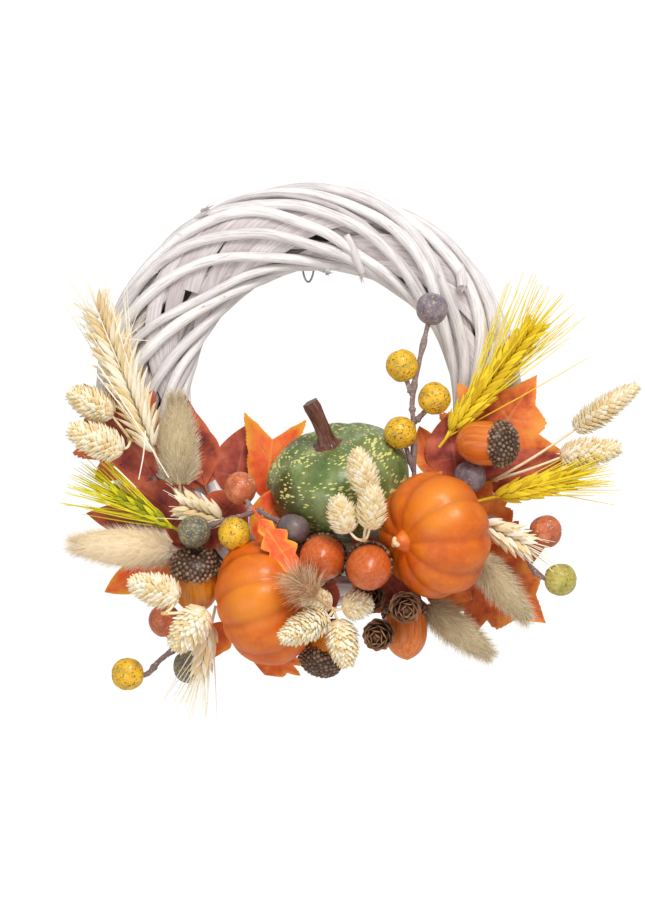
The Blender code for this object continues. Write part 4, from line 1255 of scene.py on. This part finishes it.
TWIG = dry_scale("pick_twig_frosted", ("#66544f", "#8d7673", "#e6dcda"), 1.0, 0.6)
WAXES = {
    shade: wax(f"berry_waxed_{name}", colours, fleck, fleck_share)
    for shade, name, colours, fleck, fleck_share in (
        ("grey", "grey", ("#594f58", "#857984", "#b3a6ae"), "#c9b06a", 0.36),
        ("yellow", "yellow", ("#a8984a", "#f0ba1e", "#f8d04c"), "#6e5632", 0.40),
        ("rust", "rust", ("#7c5648", "#c9673f", "#e2936a"), "#e8cfa4", 0.34),
        ("dark", "dark", ("#474044", "#6d6466", "#95685c"), "#9d5a40", 0.36),
        ("green", "green", ("#45463e", "#6e7068", "#97937c"), "#d8b02a", 0.40),
        ("pale", "lime", ("#8f8a3c", "#beb256", "#d8ce88"), "#7a5c28", 0.37),
    )
}
for name, (stems, berries) in PICKS.items():
    piece(f"pick_twigs_{name}", pick_twigs(stems, BEAD), TWIG, [f"berry_pick_{name}"])
    for index, (centre, root, shade) in enumerate(berries, 1):
        shape = berry(Vector(centre), Vector(root))
        piece(f"berry_{name}_{index}", shape, WAXES[shade])

CREAM = straw("canary_grass_dried", ("#d6a962", "#f8e4b4", "#fff9e6"))
GLUME = husk(6, 6, 6.8 * MM, 1.95 * MM, 0.5 * MM, 0.30, 1.3 * MM)
for name, (heads, knot) in CANARY.items():
    bunch = canary_bunch(heads, knot, GLUME)
    piece(f"canary_heads_{name}", bunch, CREAM, [f"canary_grass_{name}"])

STRAWS = {
    "cream": (straw("wheat_dried_cream", ("#dcb678", "#fbe8bc", "#fffaea")), "dried_wheat"),
    "yellow": (straw("wheat_dyed_yellow", ("#a88e06", "#dcb606", "#f6e030")), "dyed_yellow_wheat"),
    "green": (straw("wheat_dyed_green", ("#5c6002", "#94980a", "#ece21c")), "dyed_green_wheat"),
}
GRAIN = husk(8, 7, 13.0 * MM, 2.0 * MM, 1.1 * MM, 0.35, 0.7 * MM)
FLORET = husk(8, 7, 17.0 * MM, 1.9 * MM, 0.8 * MM, 0.35, 2.2 * MM)
for name, (start, end, radius, awns, shade, splay, beard) in WHEAT.items():
    material, slot = STRAWS[shade]
    grains = FLORET if name == "left_cream" else GRAIN
    ear = wheat_ear(start, end, radius, awns, grains, splay, beard)
    piece(f"ear_{name}", ear, material, [f"wheat_{name}"])

# Loose straws laid across the front, from end to end.
LOOSE_STRAWS = (
    ((-131.4, -68, 26.8), (-106, -75, -11), (-82.8, -79, -49.4)),
    ((-130.2, -68, 17.2), (-112, -72, -6), (-94.8, -76, -27.2)),
    ((-115.8, -72, -42.8), (-109, -73, -49), (-102.6, -72, -55.4)),
    ((-96.8, -76, -21.5), (-98, -77, -36), (-100.8, -76, -50.6)),
)
straws = gathered()
for points in LOOSE_STRAWS:
    join(straws, stem(curve_through([at(*point) for point in points], 8), [0.5 * MM, 0.35 * MM], 6, 0.9))
piece("loose_straws", straws, STRAWS["cream"][0])

TAILS = {
    "grey": (straw("bunny_tail_dried_grey", ("#9c8c68", "#d4c09a", "#f3e9d2"), 0.9), "bunny_tail_grey"),
    "cream": (straw("bunny_tail_dried_cream", ("#dcc094", "#f8e6c4", "#fff8ea"), 0.9), "bunny_tail_cream"),
    "brown": (straw("plume_dyed_brown", ("#a0704a", "#d0a67c", "#f0dab8"), 0.9), "brown_plume"),
}
HAIR = hair(9.5 * MM, 0.13 * MM, 0.16)
PLUME = hair(15.0 * MM, 0.17 * MM, 0.22)
TUFTS = (
    ("bunny_tail_left", (-76.5, -68, -54), (-79, -66, 3), 14.5, 4400, 38.0, "grey"),
    ("bunny_tail_far_left", (-81, -62, -93), (-146, -62, -89), 15.0, 4600, 38.0, "cream"),
    ("bunny_tail_right", (101, -62, -97), (133, -62, -136), 11.4, 3400, 36.0, "grey"),
    ("bunny_tail_lower_right", (71, -58, -126), (111, -60, -157.5), 12.0, 3600, 36.0, "grey"),
    ("brown_tuft", (5, -115, -119), (-8, -121, -108), 5.5, 620, 62.0, "brown"),
)
for node, start, end, radius, count, lean, shade in TUFTS:
    material, slot = TAILS[shade]
    strand = PLUME if shade == "brown" else HAIR
    piece(f"{node}_hairs", tuft(start, end, radius, strand, count, lean), material, [node])

# Smaller leaves that fill the gaps between the fruit: foot, tip, width, outline, shade.
FILLERS = (
    ((-74, -50, -80), (-132, -52, -71), 30, "oval", "burgundy"),
    ((-30, -58, -88), (-15, -60, -54), 30, "oval", "red"),
    ((-50, -50, -136), (-64, -50, -162), 26, "pointed", "orange"),
    ((-12, -50, -84), (14, -54, -132), 50, "oak", "dark_red"),
    ((28, -50, -86), (66, -52, -138), 52, "oak", "burgundy"),
    ((-44, -50, -74), (-84, -50, -88), 34, "oval", "burgundy"),
    ((88, -50, -62), (128, -52, -86), 34, "maple", "orange"),
    ((52, -48, -96), (98, -50, -122), 38, "oak", "rust"),
    ((-56, -44, -50), (-86, -46, -34), 34, "oval", "burgundy"),
    ((-70, -50, -98), (-92, -52, -128), 34, "pointed", "rust"),
    ((-62, -51, -84), (-104, -52, -54), 46, "oval", "burgundy"),
    ((-40, -50, -60), (-62, -50, -84), 40, "oval", "dark_red"),
    ((100, -48, -50), (156, -49, -38), 30, "oval", "burgundy"),
    ((90, -51, -52), (84, -52, -12), 44, "oval", "burgundy"),
)
CLOTHS = {
    shade: (fabric_leaf(f"cloth_leaf_{name}", blade, edge, vein), f"{cloth}_fabric_leaf")
    for shade, name, cloth, blade, edge, vein in (
        ("burgundy", "burgundy", "burgundy", ("#7c2c2c", "#b8503e", "#d87552"), "#d06a44", "#d4947a"),
        ("dark_red", "dark_red", "burgundy", ("#76281f", "#b24c34", "#d06a46"), "#d0643a", "#cc8a68"),
        ("orange", "orange", "orange", ("#d25218", "#f27a2c", "#fc9c3e"), "#f4a63a", "#f6c468"),
        ("red", "scarlet", "red", ("#e4461a", "#fa682e", "#ff883e"), "#fbae30", "#fcd448"),
        ("rust", "rust", "rust", ("#b4461a", "#e66c2a", "#f88c3c"), "#f6a040", "#f8c070"),
    )
}
for name, start, tip, width, kind, shade, curl in LEAVES:
    material, slot = CLOTHS[shade]
    blade = leaf(start, tip, width, kind, curl)
    piece(f"blade_{name}", blade, material, [f"leaf_{name}"], crease=80.0)
    piece(f"leaf_stalk_{name}", leaf_stalk(start, tip), material)
for index, (start, tip, width, kind, shade) in enumerate(FILLERS, 1):
    material, slot = CLOTHS[shade]
    piece(f"small_blade_{index}", leaf(start, tip, width, kind), material, crease=80.0)


# Floor, light and camera

EYE_DISTANCE = 3.0
VIEW_HEIGHT = 0.5418
SENSOR = 36.0


def pale_floor():
    """A matt painted board, far enough below the wreath to show only from above."""
    material, tree, shader = new_material("floor_matt_paint", "#f4f2ef", 0.9)
    place = add(tree, "TexCoord").outputs["Object"]
    roll_marks = add(tree, "TexNoise", {"Vector": place, "Scale": per_mm(3.0), "Detail": 2.0})
    paint = add(tree, "ValToRGB", {0: roll_marks}, [(0.3, "#f1efec"), (0.7, "#f7f5f3")])
    tree.links.new(paint.outputs[0], shader.inputs["Base Color"])
    bm = bmesh.new()
    bmesh.ops.create_grid(bm, x_segments=1, y_segments=1, size=1.1)
    bmesh.ops.translate(bm, verts=bm.verts, vec=(0.0, -0.25, CAD_BOX[0].z - 0.30))
    obj = bpy.data.objects.new("floor", as_mesh(bm, "floor"))
    obj.data.materials.append(material)
    bpy.context.scene.collection.objects.link(obj)


def soft_light(name, place, size, power, aim):
    """A round lamp, its size in metres, turned towards the aim."""
    data = bpy.data.lights.new(name, "AREA")
    data.shape = "DISK"
    data.size = size
    data.energy = power
    data.color = linear("#fffdfa")[:3]
    obj = bpy.data.objects.new(name, data)
    obj.location = place
    obj.rotation_mode = "QUATERNION"
    obj.rotation_quaternion = (Vector(aim) - Vector(place)).to_track_quat("-Z", "Y")
    bpy.context.scene.collection.objects.link(obj)


def white_room(seen, lighting):
    """White all round, a little brighter to the eye than the light it sheds on the wreath."""
    world = bpy.data.worlds.new("white_room")
    world.use_nodes = True
    tree = world.node_tree
    sky = tree.nodes["Background"]
    sky.inputs["Color"].default_value = linear("#fffefd")
    rays = add(tree, "LightPath")
    strength = add(tree, "MapRange", {0: rays.outputs["Is Camera Ray"], 3: lighting, 4: seen})
    tree.links.new(strength.outputs[0], sky.inputs["Strength"])
    bpy.context.scene.world = world


pale_floor()
AIM = Vector((0.0087, -0.055, -0.132))
soft_light("key", (0.45, -1.6, 1.35), 0.9, 33.0, AIM)
soft_light("fill", (-0.9, -1.6, -0.8), 1.6, 14.0, AIM)
white_room(1.05, 0.50)
bpy.context.scene.view_settings.view_transform = "Standard"

camera = bpy.data.objects.new("camera", bpy.data.cameras.new("camera"))
camera.data.sensor_width = SENSOR
camera.data.lens = SENSOR * EYE_DISTANCE / VIEW_HEIGHT
camera.location = AIM + Vector((0.0, -EYE_DISTANCE, 0.0))
camera.rotation_euler = (math.radians(90.0), 0.0, 0.0)
bpy.context.scene.collection.objects.link(camera)
bpy.context.scene.camera = camera
